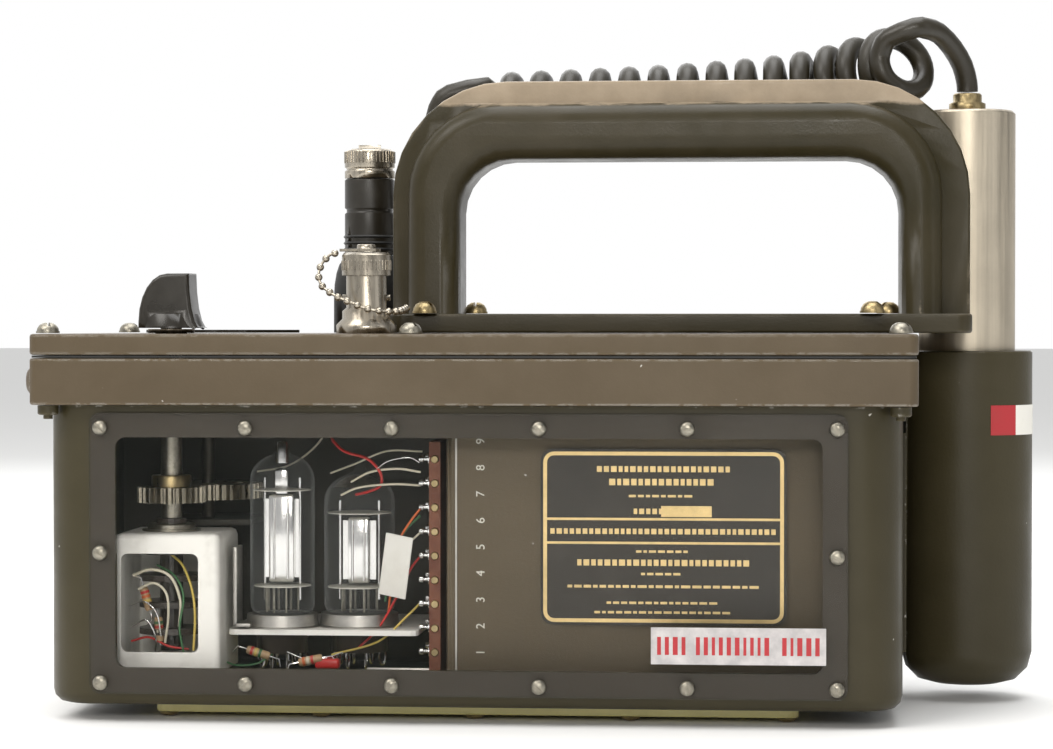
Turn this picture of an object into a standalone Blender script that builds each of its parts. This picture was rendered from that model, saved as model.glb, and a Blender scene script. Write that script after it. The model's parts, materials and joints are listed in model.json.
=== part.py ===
"""Portable radiation survey meter with a cut-away case, built as an assembly.

Metres, +Z up, the clear side window faces -Y. Every piece hangs on one empty that
centres the whole instrument over the origin.
"""
import bpy
import bmesh
from math import acos, cos, degrees, pi, radians, sin, tan
from mathutils import Vector

# ---------------------------------------------------------------- driving sizes
SEAT = 0.0002               # clearance between faces that bear on each other
RUNNING = 0.0003            # clearance round a piece that turns or slides
THROUGH = 0.004             # how far a cutter stands out past what it cuts
SAME_HEIGHT = 0.0001        # corners this near in height count as level
BITE = 0.001                # how far fused pieces run into each other

LID_LENGTH = 0.260
LID_DEPTH = 0.122
LID_CORNER = 0.003
LID_PLATE = 0.0062
LID_EDGE_ROUND = 0.0008
COLLAR_HEIGHT = 0.0137
COLLAR_EDGE = 0.0006
OVERHANG = 0.004            # how far lid and collar stand out past the drawn case
SEAL_THICKNESS = 0.0006
SEAL_INSET = 0.0006

CASE_HEIGHT = 0.0884
CASE_WALL = 0.0016
CASE_CORNER = 0.013
CASE_FLOOR_ROUND = 0.004

PANE_END_MARGIN = 0.0152    # case end to side window, and the other margins likewise
PANE_TOP_MARGIN = 0.0021
PANE_FOOT_MARGIN = 0.0040
PANE_CORNER = 0.003
PANE_THICKNESS = 0.0028
PANE_SHIFT = -0.001
BORDER_WIDTH = 0.0072       # black border between the pane's edge and the opening
PANE_SEAL = 0.0006
PANE_EDGE = 0.0004

FLOOR_PANE_END_MARGIN = 0.0302
FLOOR_PANE_SIDE_MARGIN = 0.014
FLOOR_PANE_THICKNESS = 0.0032
FLOOR_PANE_BORDER = 0.012
FLOOR_SCREW_INSET = 0.0035
FLOOR_HEAD_RADIUS = 0.0030
FLOOR_HEAD_HEIGHT = 0.0013

PANEL_SCREW_INSET = 0.005
PANEL_SCREW_MIDDLE = 0.1127  # from the lid's left end
PANEL_HEAD_RADIUS = 0.0035
PANEL_HEAD_HEIGHT = 0.0032

STUD_FROM_FRONT = 0.016
STUD_RADIUS = 0.005
STUD_REACH = 0.004

WELL_RADIUS = 0.0204
WELL_WALL = 0.0018
WELL_GAP = 0.0019           # case end wall to the well
WELL_FROM_FRONT = 0.089
WELL_TOP_DROP = 0.0054      # lid top down to the well's rim
WELL_FOOT_ROUND = WELL_RADIUS * 0.49
WELL_LIP = 0.003
WELL_EDGE = 0.0006
WELL_WEB_WIDTH = 0.020
NOTCH_CLEARANCE = 0.0004

PROBE_GAP = 0.0036           # probe tube to the well's inside
PROBE_RADIUS = WELL_RADIUS - WELL_WALL - PROBE_GAP
PROBE_PROUD = 0.0750        # probe tube above the well's rim
PROBE_CAP_HEIGHT = 0.0060
PROBE_EDGE = 0.001
PROBE_TAPER = 0.012         # tube's foot narrows over this height
PROBE_TAPER_TO = 0.62       # to this share of its radius
GLAND_FLANGE_RADIUS = 0.0057
GLAND_NUT_RADIUS = 0.0045
GLAND_HEIGHT = 0.0054
GLAND_EDGE = 0.0005

HANDLE_FROM_LEFT = 0.1013
HANDLE_PAST_END = 0.0173
HANDLE_FROM_FRONT = 0.053   # to the middle of the grip
HANDLE_HEIGHT = 0.0770
HANDLE_GRIP_DEPTH = 0.028
HANDLE_LEG = 0.0212
HANDLE_BAR = 0.0242
HANDLE_OUTER_ROUND = 0.035
HANDLE_INNER_ROUND = 0.016
HANDLE_EDGE_ROUND = 0.006
HANDLE_WEB = 0.012          # depth of the flat web round the bar's outside
HANDLE_WEB_EDGE = 0.0007
BAR_FROM_TOP = 0.0070       # web's outer edge to the bar, at the top and both ends
BAR_FROM_LEFT = 0.0050
BAR_FROM_RIGHT = 0.0085
FOOT_THICKNESS = 0.0058
FOOT_DEPTH = 0.046
FOOT_CORNER = 0.005
FOOT_EDGE = 0.0008
PROBE_RELIEF = 0.0027       # gap between the probe tube and the handle's foot
FOOT_SCREW_RADIUS = 0.0037
FOOT_SCREW_HEIGHT = 0.0036
FOOT_SCREWS_FRONT = (0.0120, 0.0299)  # in from the arch's left and right ends
FOOT_SCREWS_BACK = (0.0237, 0.0240)

KNOB_FROM_LEFT = 0.0372
KNOB_FROM_FRONT = 0.028
KNOB_HEIGHT = 0.0164
KNOB_NOSE = 0.0088
KNOB_TAIL = 0.0100
KNOB_BREADTH = 0.014
KNOB_EDGE = 0.0012
KNOB_SKIRT = 0.0042
KNOB_BORE_SHARE = 0.55      # bore depth as a share of the knob's height
KNOB_SWING = 150
SHAFT_RADIUS = 0.0032
BUSHING_RADIUS = 0.0048
BUSHING_NUT_RADIUS = 0.0070
BUSHING_NUT = 0.0012
BUSHING_BELOW = 0.0045      # bushing below the panel's underside

GEAR_MODULE = 0.0008
DRIVE_TEETH = 24
SCALE_TEETH = 40
GEAR_WIDTH = 0.0046
GEAR_DROP = 0.0400          # panel underside down to the gears' top faces
GEAR_BACKLASH = 0.00016
SCALE_LEAN = 75.3           # direction of the scale arbor from the knob, degrees
ARBOR_RADIUS = 0.0020
ARBOR_FOOT = 0.0060

DIAL_RADIUS = 0.033
DIAL_THICKNESS = 0.0008
DIAL_DROP = 0.0120
DIAL_SPARE = 3              # degrees of dial past each edge of its window
METER_WINDOW_HALF = 40      # degrees each side of straight back
METER_WINDOW_INNER = 0.0165
METER_WINDOW_OUTER = 0.0325
METER_GLASS = 0.0020
BEZEL_WIDTH = 0.0022
BEZEL_THICKNESS = 0.0009
MOVEMENT_RADIUS = 0.0135
MOVEMENT_HEIGHT = 0.0082
POINTER_THICKNESS = 0.0006
POINTER_REACH = 0.0300
POINTER_HUB = 0.0024
POINTER_HALF_WIDTH = 0.0003
MOVEMENT_EDGE = 0.001
DIAL_HUB_SHARE = 2.6        # dial's hub radius over the arbor's
POINTER_SWING = 72

JACK_FROM_LEFT = 0.0978
JACK_FROM_FRONT = 0.019
JACK_FLANGE_RADIUS = 0.0090
JACK_FLANGE = 0.0030
JACK_RADIUS = 0.0060
JACK_HEIGHT = 0.0222
JACK_EDGE = 0.0006
JACK_RING = 0.0012          # ring round the jack, above its flange
JACK_RING_HEIGHTS = (0.0042, 0.0065, 0.0075)
JACK_PIN_RADIUS = 0.0010
JACK_PIN_HEIGHT = 0.0105
JACK_PIN_SHORT = 0.0002     # pins stop this far inside the cap's outside
JACK_CAP_RADIUS = 0.0073
JACK_CAP_HEIGHT = 0.0068
JACK_CAP_WALL = 0.0010
JACK_CAP_ROOF = 0.0014
JACK_CAP_EDGE = 0.0008
JACK_BOSS_RADIUS = 0.0028
JACK_BOSS_HEIGHT = 0.0024
JACK_BOSS_EDGE = 0.0003
CLIP_THICKNESS = 0.0008
CLIP_RING = 0.0012
CLIP_TAIL = 0.0006          # clip's tail past the cap's side
CLIP_TAIL_HALF = 0.0010

POST_FROM_LEFT = 0.0897
POST_FROM_FRONT = 0.085
POST_BOOT_RADIUS = 0.0115
POST_BOOT_HEIGHT = 0.0245
POST_RADIUS = 0.0080
POST_BODY_HEIGHT = 0.0240
POST_CAP_HEIGHT = 0.0092
POST_EDGE = 0.0004
POST_GROOVE = 0.0006
POST_CAP_EDGE = 0.0010
POST_LUG = (0.0070, 0.0012, 0.0022)
POST_LUG_SUNK = 0.0008

PANEL_GLAND_FROM_LEFT = 0.107
PANEL_GLAND_FROM_FRONT = 0.093
PANEL_GLAND_RADIUS = 0.0060
PANEL_GLAND_HEIGHT = 0.0070

CORD_DIAMETER = 0.0066
COIL_RADIUS = 0.0124

CAN_DROP = 0.0532
CAN_FOOT_GAP = 0.0071        # case floor to the can's foot, and the others likewise
CAN_WIDTH = 0.032
CAN_DEPTH = 0.032
CAN_WALL = 0.0012
CAN_FROM_FRONT = 0.014
CAN_FROM_LEFT = 0.0225
CAN_ROUND = 0.002
CAN_SIGHT_LEFT = 0.0022     # can's edge to its cut-out, left, right, and top and foot
CAN_SIGHT_RIGHT = 0.0065
CAN_SIGHT_ENDS = 0.0060
SWITCH_BUSHING_RADIUS = 0.0046
SWITCH_BUSHING_HEIGHT = 0.0040
WAFER_SHARES = (0.145, 0.338, 0.531, 0.725)  # of the can's height, from its top
WAFER_RADIUS = 0.0098
WAFER_ABOVE = 0.001
WAFER_BELOW = 0.0008
SPINE_RADIUS = 0.0035
SPINE_NECK = 0.004
SPINE_SHARE = 0.87

DECK_FLOOR_GAP = 0.0177
DECK_THICKNESS = 0.0016
DECK_LEFT = 0.0552          # from the lid's left end
DECK_LENGTH = 0.0573
DECK_FROM_FRONT = 0.023
BOARD_FROM_LEFT = 0.1160
BOARD_THICKNESS = 0.0034
BOARD_DROP = 0.0260
BOARD_FOOT_GAP = 0.0057
BACKPLANE_BEHIND_SCALE = 0.0242  # scale arbor to the frame's middle
BACKPLANE_THICKNESS = 0.0016
BACKPLANE_LEFT = 0.0120
BACKPLANE_UNDER_DIAL = 0.0014
BACKPLANE_BELOW_DECK = 0.0120
EAR_LENGTH = 0.008
EARS_IN = (0.004, 0.006)    # middles of the two ears, in from the frame's ends
SHELF_LENGTH = 0.030
SHELF_IN_FRONT = 0.008      # shelf in front of the scale's arbor
DECK_CORNER = 0.002
SHANK_SHARE = 0.8           # valve socket's shank over its valve's radius
SOCKET_RIM = 0.0006
VALVE_TIP_RADIUS = 0.0020
VALVE_TIP_HEIGHT = 0.0040
VALVE_FOOT_ROUND = 0.0015
VALVE_1_FROM_LEFT = 0.0700
VALVE_2_FROM_LEFT = 0.0930
VALVE_1_FROM_FRONT = 0.034
VALVE_2_FROM_FRONT = 0.038
VALVE_1_RADIUS = 0.0098
VALVE_2_RADIUS = 0.0108
VALVE_1_SHARE = 0.625       # of the height from deck to panel
VALVE_2_SHARE = 0.5536
SOCKET_HEIGHT = 0.0036
SOCKET_SKIRT = 0.0060

BATTERY_LEFT = 0.1218
BATTERY_FROM_PANE = 0.0120
BATTERY_ROUND = 0.002
BATTERY_TOP_DROP = 0.018
BATTERY_WALL_GAP = 0.006
BATTERY_FLOOR_GAP = 0.004
NAMEPLATE_LENGTH = 0.0722
NAMEPLATE_HEIGHT = 0.0518
NAMEPLATE_FROM_LEFT = 0.1500
NAMEPLATE_DROP = 0.0276
NAMEPLATE_THICKNESS = 0.0008
NAMEPLATE_CORNER = 0.0035

# ---------------------------------------------------------------- worked-out places
LEFT = -LID_LENGTH / 2
FRONT = -LID_DEPTH / 2
CASE_LENGTH = LID_LENGTH - 2 * OVERHANG
CASE_DEPTH = LID_DEPTH - 2 * OVERHANG
CASE_FRONT = -CASE_DEPTH / 2

Z_FLOOR_PANE = FLOOR_HEAD_HEIGHT + SEAT
Z_CASE = Z_FLOOR_PANE + FLOOR_PANE_THICKNESS + SEAT
Z_RIM = Z_CASE + CASE_HEIGHT
Z_COLLAR = Z_RIM + SEAT
Z_SEAL = Z_COLLAR + COLLAR_HEIGHT + SEAT
Z_PANEL = Z_SEAL + SEAL_THICKNESS + SEAT
Z_TOP = Z_PANEL + LID_PLATE

WELL_X = CASE_LENGTH / 2 + WELL_GAP + WELL_RADIUS
WELL_Y = FRONT + WELL_FROM_FRONT
WELL_RIM = Z_TOP - WELL_TOP_DROP
PROBE_TOP = WELL_RIM + PROBE_PROUD

KNOB_X = LEFT + KNOB_FROM_LEFT
KNOB_Y = FRONT + KNOB_FROM_FRONT
GEAR_CENTRES = GEAR_MODULE * (DRIVE_TEETH + SCALE_TEETH) / 2
SCALE_X = KNOB_X + GEAR_CENTRES * cos(radians(SCALE_LEAN))
SCALE_Y = KNOB_Y + GEAR_CENTRES * sin(radians(SCALE_LEAN))
Z_GEAR = Z_PANEL - GEAR_DROP - GEAR_WIDTH
Z_DIAL = Z_PANEL - DIAL_DROP - DIAL_THICKNESS
DIAL_TURN = KNOB_SWING * DRIVE_TEETH / SCALE_TEETH

Z_FLOOR = Z_CASE + CASE_WALL
Z_CAN_TOP = Z_PANEL - CAN_DROP
CAN_HEIGHT = Z_CAN_TOP - Z_FLOOR - CAN_FOOT_GAP
Z_DECK = Z_FLOOR + DECK_FLOOR_GAP
BOARD_HEIGHT = Z_PANEL - BOARD_DROP - Z_FLOOR - BOARD_FOOT_GAP
BACKPLANE_Y = SCALE_Y + BACKPLANE_BEHIND_SCALE
VALVE_1_HEIGHT = (Z_PANEL - Z_DECK) * VALVE_1_SHARE
VALVE_2_HEIGHT = (Z_PANEL - Z_DECK) * VALVE_2_SHARE
JACK_X = LEFT + JACK_FROM_LEFT
JACK_Y = FRONT + JACK_FROM_FRONT
POST_X = LEFT + POST_FROM_LEFT
POST_Y = FRONT + POST_FROM_FRONT
GLAND_X = LEFT + PANEL_GLAND_FROM_LEFT
GLAND_Y = FRONT + PANEL_GLAND_FROM_FRONT

HANDLE_LEFT = LEFT + HANDLE_FROM_LEFT
HANDLE_RIGHT = LID_LENGTH / 2 + HANDLE_PAST_END
HANDLE_Y = FRONT + HANDLE_FROM_FRONT
FOOT_BACK = HANDLE_Y + FOOT_DEPTH / 2

OUTER_LEFT = LEFT - SEAT - STUD_REACH
OUTER_RIGHT = WELL_X + WELL_RADIUS
CENTRE_SHIFT = -(OUTER_LEFT + OUTER_RIGHT) / 2

# routes chosen by hand, as places from an origin at the lid's top face
WELL_ORIGIN = (WELL_X, WELL_Y, Z_TOP)
GLAND_ORIGIN = (GLAND_X, GLAND_Y, Z_TOP)
JACK_ORIGIN = (JACK_X, JACK_Y, Z_TOP)
LID_ORIGIN = (0.0, 0.0, Z_TOP)
LEAD_FROM_WELL = [
    (-0.0014, -0.0020, 0.0851), (-0.0034, -0.0065, 0.0900), (-0.0061, -0.0122, 0.0932),
    (-0.0100, -0.0177, 0.0948), (-0.0158, -0.0192, 0.0950), (-0.0208, -0.0193, 0.0945),
]
COIL_FROM_LID = [
    (0.1270, 0.0128, 0.0851), (0.1263, 0.0195, 0.0849), (0.1225, 0.0270, 0.0836),
    (0.1155, 0.0320, 0.0814), (0.1060, 0.0340, 0.0788), (0.0950, 0.0335, 0.0766),
    (0.0780, 0.0305, 0.0746), (0.0600, 0.0275, 0.0731), (0.0400, 0.0245, 0.0718),
    (0.0200, 0.0218, 0.0708), (0.0000, 0.0202, 0.0699), (-0.0060, 0.0200, 0.0696),
]
TAIL_FROM_GLAND = [
    (0.0155, -0.0120, 0.0756), (0.0110, -0.0118, 0.0768), (0.0065, -0.0108, 0.0741),
    (0.0040, -0.0092, 0.0686), (0.0030, -0.0070, 0.0616), (0.0024, -0.0048, 0.0536),
    (0.0017, -0.0028, 0.0446), (0.0010, -0.0012, 0.0346), (0.0004, -0.0002, 0.0246),
    (0.0000, 0.0000, 0.0156),
]
CHAIN_FROM_JACK = [
    (-0.0094, -0.0003, 0.0239), (-0.0110, -0.0010, 0.0232), (-0.0130, -0.0025, 0.0206),
    (-0.0137, -0.0040, 0.0174), (-0.0128, -0.0053, 0.0146), (-0.0108, -0.0065, 0.0128),
    (-0.0072, -0.0083, 0.0107), (-0.0033, -0.0096, 0.0092), (0.0012, -0.0092, 0.0074),
    (0.0060, -0.0080, 0.0066), (0.0096, -0.0030, 0.0066), (0.0107, 0.0035, 0.0071),
    (0.0108, 0.0100, 0.0077),
]
CHAIN_DIAMETER = 0.0024

# ---------------------------------------------------------------- scene and materials


def clear_scene():
    for thing in list(bpy.data.objects):
        bpy.data.objects.remove(thing, do_unlink=True)


def new_collection(name):
    collection = bpy.data.collections.new(name)
    bpy.context.scene.collection.children.link(collection)
    return collection


clear_scene()
PARTS = new_collection("survey_meter")
CUTTERS = new_collection("cutters")
CENTRE = bpy.data.objects.new("instrument_centre", None)
CENTRE.location = (CENTRE_SHIFT, 0, 0)
PARTS.objects.link(CENTRE)
FINISHES = {}


def finish(name, colour, roughness, metallic=0.0, alpha=1.0):
    material = bpy.data.materials.new(name)
    material.use_nodes = True
    shader = material.node_tree.nodes["Principled BSDF"]
    shader.inputs["Base Color"].default_value = (*colour, 1)
    shader.inputs["Roughness"].default_value = roughness
    shader.inputs["Metallic"].default_value = metallic
    shader.inputs["Alpha"].default_value = alpha
    FINISHES[name] = material


finish("olive_paint", (0.075, 0.068, 0.045), 0.45, 0.1)
finish("panel_paint", (0.14, 0.12, 0.085), 0.5, 0.1)
finish("black_rubber", (0.015, 0.015, 0.015), 0.7)
finish("black_plastic", (0.012, 0.012, 0.012), 0.35)
finish("cord_rubber", (0.03, 0.03, 0.022), 0.55)
finish("clear_plastic", (0.9, 0.92, 0.9), 0.08, 0.0, 0.2)
finish("amber_plastic", (0.45, 0.38, 0.12), 0.2, 0.0, 0.6)
finish("satin_aluminium", (0.62, 0.60, 0.56), 0.4, 1.0)
finish("nickel", (0.6, 0.58, 0.54), 0.25, 1.0)
finish("steel", (0.45, 0.44, 0.42), 0.35, 1.0)
finish("brass", (0.55, 0.42, 0.2), 0.35, 1.0)
finish("white_enamel", (0.75, 0.74, 0.68), 0.45)
finish("phenolic", (0.22, 0.09, 0.05), 0.5)
finish("valve_glass", (0.85, 0.88, 0.88), 0.05, 0.0, 0.35)
finish("plate_black", (0.015, 0.014, 0.012), 0.4)

# ---------------------------------------------------------------- modelling helpers


def show(thing, name, finish_name, at=(0, 0, 0), turn=(0, 0, 0)):
    """Name a finished object, give it its finish and hang it on the centre empty."""
    thing.name = name
    thing.data.name = name
    thing.data.materials.clear()
    thing.data.materials.append(FINISHES[finish_name])
    thing.parent = CENTRE
    thing.location = at
    thing.rotation_euler = turn
    return thing


def as_cutter(thing, at=(0, 0, 0), turn=(0, 0, 0)):
    """Move a shape to the cutters' collection, drawn as wire and never rendered."""
    PARTS.objects.unlink(thing)
    CUTTERS.objects.link(thing)
    thing.parent = CENTRE
    thing.location = at
    thing.rotation_euler = turn
    thing.hide_render = True
    thing.display_type = "WIRE"
    return thing


def combine(thing, tool, operation):
    boolean = thing.modifiers.new(operation.lower(), "BOOLEAN")
    boolean.operation = operation
    boolean.solver = "EXACT"
    boolean.object = tool


def cut(thing, tool):
    combine(thing, tool, "DIFFERENCE")


def fuse(thing, tool):
    combine(thing, tool, "UNION")


def from_bmesh(mesh_data):
    mesh = bpy.data.meshes.new("shape")
    mesh_data.to_mesh(mesh)
    mesh_data.free()
    thing = bpy.data.objects.new("shape", mesh)
    PARTS.objects.link(thing)
    return thing


def block(length, depth, height, corner=0.0, segments=3):
    """A box standing on z = 0, its upright edges rounded by corner."""
    mesh_data = bmesh.new()
    bmesh.ops.create_cube(mesh_data, size=1.0)
    bmesh.ops.scale(mesh_data, vec=(length, depth, height), verts=mesh_data.verts)
    bmesh.ops.translate(mesh_data, vec=(0, 0, height / 2), verts=mesh_data.verts)
    if corner:
        upright = [e for e in mesh_data.edges
                   if abs(e.verts[0].co.z - e.verts[1].co.z) > height / 2]
        bmesh.ops.bevel(mesh_data, geom=upright, offset=corner, segments=segments,
                        profile=0.5, affect="EDGES")
    return from_bmesh(mesh_data)


def rod(radius, height, sides=24):
    """A cylinder standing on z = 0."""
    mesh_data = bmesh.new()
    bmesh.ops.create_cone(mesh_data, cap_ends=True, segments=sides, radius1=radius,
                          radius2=radius, depth=height)
    bmesh.ops.translate(mesh_data, vec=(0, 0, height / 2), verts=mesh_data.verts)
    return from_bmesh(mesh_data)


def turned(profile, steps=32):
    """Turn a profile about Z; it starts above and runs down its outer side."""
    mesh = bpy.data.meshes.new("profile")
    points = [(radius, 0, height) for radius, height in profile]
    mesh.from_pydata(points, [(i, i + 1) for i in range(len(points) - 1)], [])
    thing = bpy.data.objects.new("turned", mesh)
    PARTS.objects.link(thing)
    screw = thing.modifiers.new("turn", "SCREW")
    screw.axis = "Z"
    screw.angle = 2 * pi
    screw.steps = steps
    screw.render_steps = steps
    screw.use_merge_vertices = True
    screw.merge_threshold = 0.00001
    screw.use_normal_calculate = False
    return thing


def arc(centre, radius, start, end, count):
    """Points round a centre from one angle to another, in degrees."""
    turns = [radians(start + (end - start) * i / count) for i in range(count + 1)]
    return [(centre[0] + radius * cos(a), centre[1] + radius * sin(a)) for a in turns]


def rounded_rectangle(x0, y0, x1, y1, radius, count=4):
    outline = []
    corners = ((x1, y1, 0), (x0, y1, 90), (x0, y0, 180), (x1, y0, 270))
    for x, y, start in corners:
        middle = (x - radius if x == x1 else x + radius,
                  y - radius if y == y1 else y + radius)
        outline += arc(middle, radius, start, start + 90, count)
    return outline


def curve_mesh(curve):
    """Make a curve object a welded mesh object."""
    bpy.context.view_layer.update()
    graph = bpy.context.evaluated_depsgraph_get()
    mesh = bpy.data.meshes.new_from_object(curve.evaluated_get(graph))
    mesh_data = bmesh.new()
    mesh_data.from_mesh(mesh)
    bmesh.ops.remove_doubles(mesh_data, verts=mesh_data.verts, dist=0.000001)
    thing = from_bmesh(mesh_data)
    thing.matrix_world = curve.matrix_world
    bpy.data.objects.remove(curve, do_unlink=True)
    return thing


def plate(outlines, thickness, rim=0.0, rim_steps=1):
    """A flat shape standing on z = 0; the outlines after the first are holes."""
    data = bpy.data.curves.new("outline", "CURVE")
    data.dimensions = "2D"
    data.fill_mode = "BOTH"
    data.extrude = thickness / 2 - rim
    data.bevel_depth = rim
    data.bevel_resolution = rim_steps
    data.offset = -rim
    for outline in outlines:
        spline = data.splines.new("POLY")
        spline.points.add(len(outline) - 1)
        for point, (x, y) in zip(spline.points, outline):
            point.co = (x, y, thickness / 2, 1)
        spline.use_cyclic_u = True
    curve = bpy.data.objects.new("outline", data)
    PARTS.objects.link(curve)
    thing = curve_mesh(curve)
    foot = min(v.co.z for v in thing.data.vertices)
    for vertex in thing.data.vertices:
        vertex.co.z -= foot
    return thing


def smooth_path(route, between):
    """Points on a Catmull-Rom curve through a route."""
    knots = [Vector(p) for p in route]
    knots = [2 * knots[0] - knots[1]] + knots + [2 * knots[-1] - knots[-2]]
    path = []
    for i in range(1, len(knots) - 2):
        a, b, c, d = knots[i - 1:i + 3]
        for k in range(between):
            t = k / between
            path.append(0.5 * (2 * b + (c - a) * t + (2 * a - 5 * b + 4 * c - d) * t * t
                               + (3 * b - a - 3 * c + d) * t * t * t))
    path.append(knots[-2])
    return path


def moved(route, origin):
    return [Vector(point) + Vector(origin) for point in route]


def tube(path, radius, sides_step):
    """A closed round tube along a path."""
    data = bpy.data.curves.new("tube", "CURVE")
    data.dimensions = "3D"
    data.bevel_depth = radius
    data.bevel_resolution = sides_step
    data.use_fill_caps = True
    spline = data.splines.new("POLY")
    spline.points.add(len(path) - 1)
    for point, place in zip(spline.points, path):
        point.co = (*place, 1)
    thing = bpy.data.objects.new("tube", data)
    PARTS.objects.link(thing)
    return thing


# ---------------------------------------------------------------- case, lid and seals


def case_inside():
    """The outline of the space inside the case wall, seen from above."""
    x = CASE_LENGTH / 2 - CASE_WALL
    y = CASE_DEPTH / 2 - CASE_WALL
    return rounded_rectangle(-x, -y, x, y, CASE_CORNER - CASE_WALL, 4)


def pane_opening():
    """Lowest and highest corner of the side opening, as x and height."""
    end = PANE_END_MARGIN + BORDER_WIDTH
    low = Z_CASE + PANE_FOOT_MARGIN + BORDER_WIDTH
    high = Z_RIM - PANE_TOP_MARGIN - BORDER_WIDTH
    return (-CASE_LENGTH / 2 + end + PANE_SHIFT, low,
            CASE_LENGTH / 2 - end + PANE_SHIFT, high)


def pane_edge():
    x0, low, x1, high = pane_opening()
    return x0 - BORDER_WIDTH, low - BORDER_WIDTH, x1 + BORDER_WIDTH, high + BORDER_WIDTH


def floor_pane_half():
    return (CASE_LENGTH / 2 - FLOOR_PANE_END_MARGIN, CASE_DEPTH / 2 - FLOOR_PANE_SIDE_MARGIN)


def make_case():
    mesh_data = bmesh.new()
    bmesh.ops.create_cube(mesh_data, size=1.0)
    bmesh.ops.scale(mesh_data, vec=(CASE_LENGTH, CASE_DEPTH, CASE_HEIGHT),
                    verts=mesh_data.verts)
    upright = [e for e in mesh_data.edges
               if abs(e.verts[0].co.z - e.verts[1].co.z) > CASE_HEIGHT / 2]
    bmesh.ops.bevel(mesh_data, geom=upright, offset=CASE_CORNER, segments=6,
                    profile=0.5, affect="EDGES")
    foot = [e for e in mesh_data.edges
            if max(v.co.z for v in e.verts) < -CASE_HEIGHT / 2 + SAME_HEIGHT]
    bmesh.ops.bevel(mesh_data, geom=foot, offset=CASE_FLOOR_ROUND, segments=3,
                    profile=0.5, affect="EDGES")
    lid_side = [f for f in mesh_data.faces
                if min(v.co.z for v in f.verts) > CASE_HEIGHT / 2 - SAME_HEIGHT]
    bmesh.ops.delete(mesh_data, geom=lid_side, context="FACES_ONLY")
    case = from_bmesh(mesh_data)
    wall = case.modifiers.new("wall", "SOLIDIFY")
    wall.thickness = CASE_WALL
    wall.offset = -1
    wall.use_even_offset = True
    x0, low, x1, high = pane_opening()
    side = plate([rounded_rectangle(x0, low, x1, high, PANE_CORNER)], 4 * CASE_CORNER)
    cut(case, as_cutter(side, (0, CASE_FRONT + 2 * CASE_CORNER, 0), (pi / 2, 0, 0)))
    x, y = floor_pane_half()
    under = rounded_rectangle(-x + FLOOR_PANE_BORDER, -y + FLOOR_PANE_BORDER,
                              x - FLOOR_PANE_BORDER, y - FLOOR_PANE_BORDER, PANE_CORNER)
    cut(case, as_cutter(plate([under], CASE_WALL + 2 * THROUGH), (0, 0, Z_CASE - THROUGH)))
    show(case, "case_body", "olive_paint", (0, 0, Z_CASE + CASE_HEIGHT / 2))


def lid_outline(inset=0.0):
    x = LID_LENGTH / 2 - inset
    y = LID_DEPTH / 2 - inset
    return rounded_rectangle(-x, -y, x, y, LID_CORNER - inset, 3)


def well_notch(z0, z1):
    notch = rod(WELL_RADIUS + NOTCH_CLEARANCE, z1 - z0, 48)
    return as_cutter(notch, (WELL_X, WELL_Y, z0))


def make_collar_and_seal():
    notch = well_notch(Z_COLLAR - THROUGH, Z_TOP + THROUGH)
    collar = plate([lid_outline(), case_inside()], COLLAR_HEIGHT, COLLAR_EDGE)
    cut(collar, notch)
    show(collar, "case_collar", "panel_paint", (0, 0, Z_COLLAR))
    seal = plate([lid_outline(SEAL_INSET), case_inside()], SEAL_THICKNESS)
    cut(seal, notch)
    show(seal, "panel_gasket", "black_rubber", (0, 0, Z_SEAL))


def fan(inner, outer, half, count):
    """The outline of the meter's fan-shaped window, about the scale arbor."""
    outline = arc((SCALE_X, SCALE_Y), outer, 90 - half, 90 + half, count)
    return outline + arc((SCALE_X, SCALE_Y), inner, 90 + half, 90 - half, count // 2)


def grown_fan(by):
    """The meter window's outline with every side moved out by the given distance."""
    middle = (METER_WINDOW_INNER + METER_WINDOW_OUTER) / 2
    half = METER_WINDOW_HALF + degrees(by / middle)
    return fan(METER_WINDOW_INNER - by, METER_WINDOW_OUTER + by, half, 12)


def make_top_panel():
    bushing = arc((KNOB_X, KNOB_Y), BUSHING_RADIUS + SEAT, 0, 345, 23)
    panel = plate([lid_outline(), grown_fan(0), bushing], LID_PLATE, LID_EDGE_ROUND)
    cut(panel, well_notch(Z_COLLAR - THROUGH, Z_TOP + THROUGH))
    show(panel, "top_panel", "panel_paint", (0, 0, Z_PANEL))


def make_side_window():
    x0, low, x1, high = pane_edge()
    edge = rounded_rectangle(x0, low, x1, high, PANE_CORNER)
    hole = rounded_rectangle(*pane_opening(), PANE_CORNER)
    seal_front = CASE_FRONT - SEAT
    seal = plate([edge, hole], PANE_SEAL)
    show(seal, "window_gasket", "black_rubber", (0, seal_front, 0), (pi / 2, 0, 0))
    pane = plate([edge], PANE_THICKNESS, PANE_EDGE)
    pane_back = seal_front - PANE_SEAL - SEAT
    show(pane, "side_window", "clear_plastic", (0, pane_back, 0), (pi / 2, 0, 0))


def make_floor_window():
    x, y = floor_pane_half()
    outline = rounded_rectangle(-x, -y, x, y, PANE_CORNER)
    pane = plate([outline], FLOOR_PANE_THICKNESS, PANE_EDGE)
    show(pane, "bottom_window", "amber_plastic", (0, 0, Z_FLOOR_PANE))
    corners = ((-1, -1), (1, -1), (-1, 1), (1, 1))
    for number, (side, end) in enumerate(corners, 1):
        flat = FLOOR_HEAD_RADIUS * 0.75
        head = turned([(0, FLOOR_HEAD_HEIGHT), (FLOOR_HEAD_RADIUS, FLOOR_HEAD_HEIGHT),
                       (FLOOR_HEAD_RADIUS, FLOOR_HEAD_HEIGHT * 0.45), (flat, 0), (0, 0)], 16)
        place = (side * (x - FLOOR_SCREW_INSET), end * (y - FLOOR_SCREW_INSET), 0)
        show(head, f"bottom_screw_{number}", "steel", place)


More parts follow.
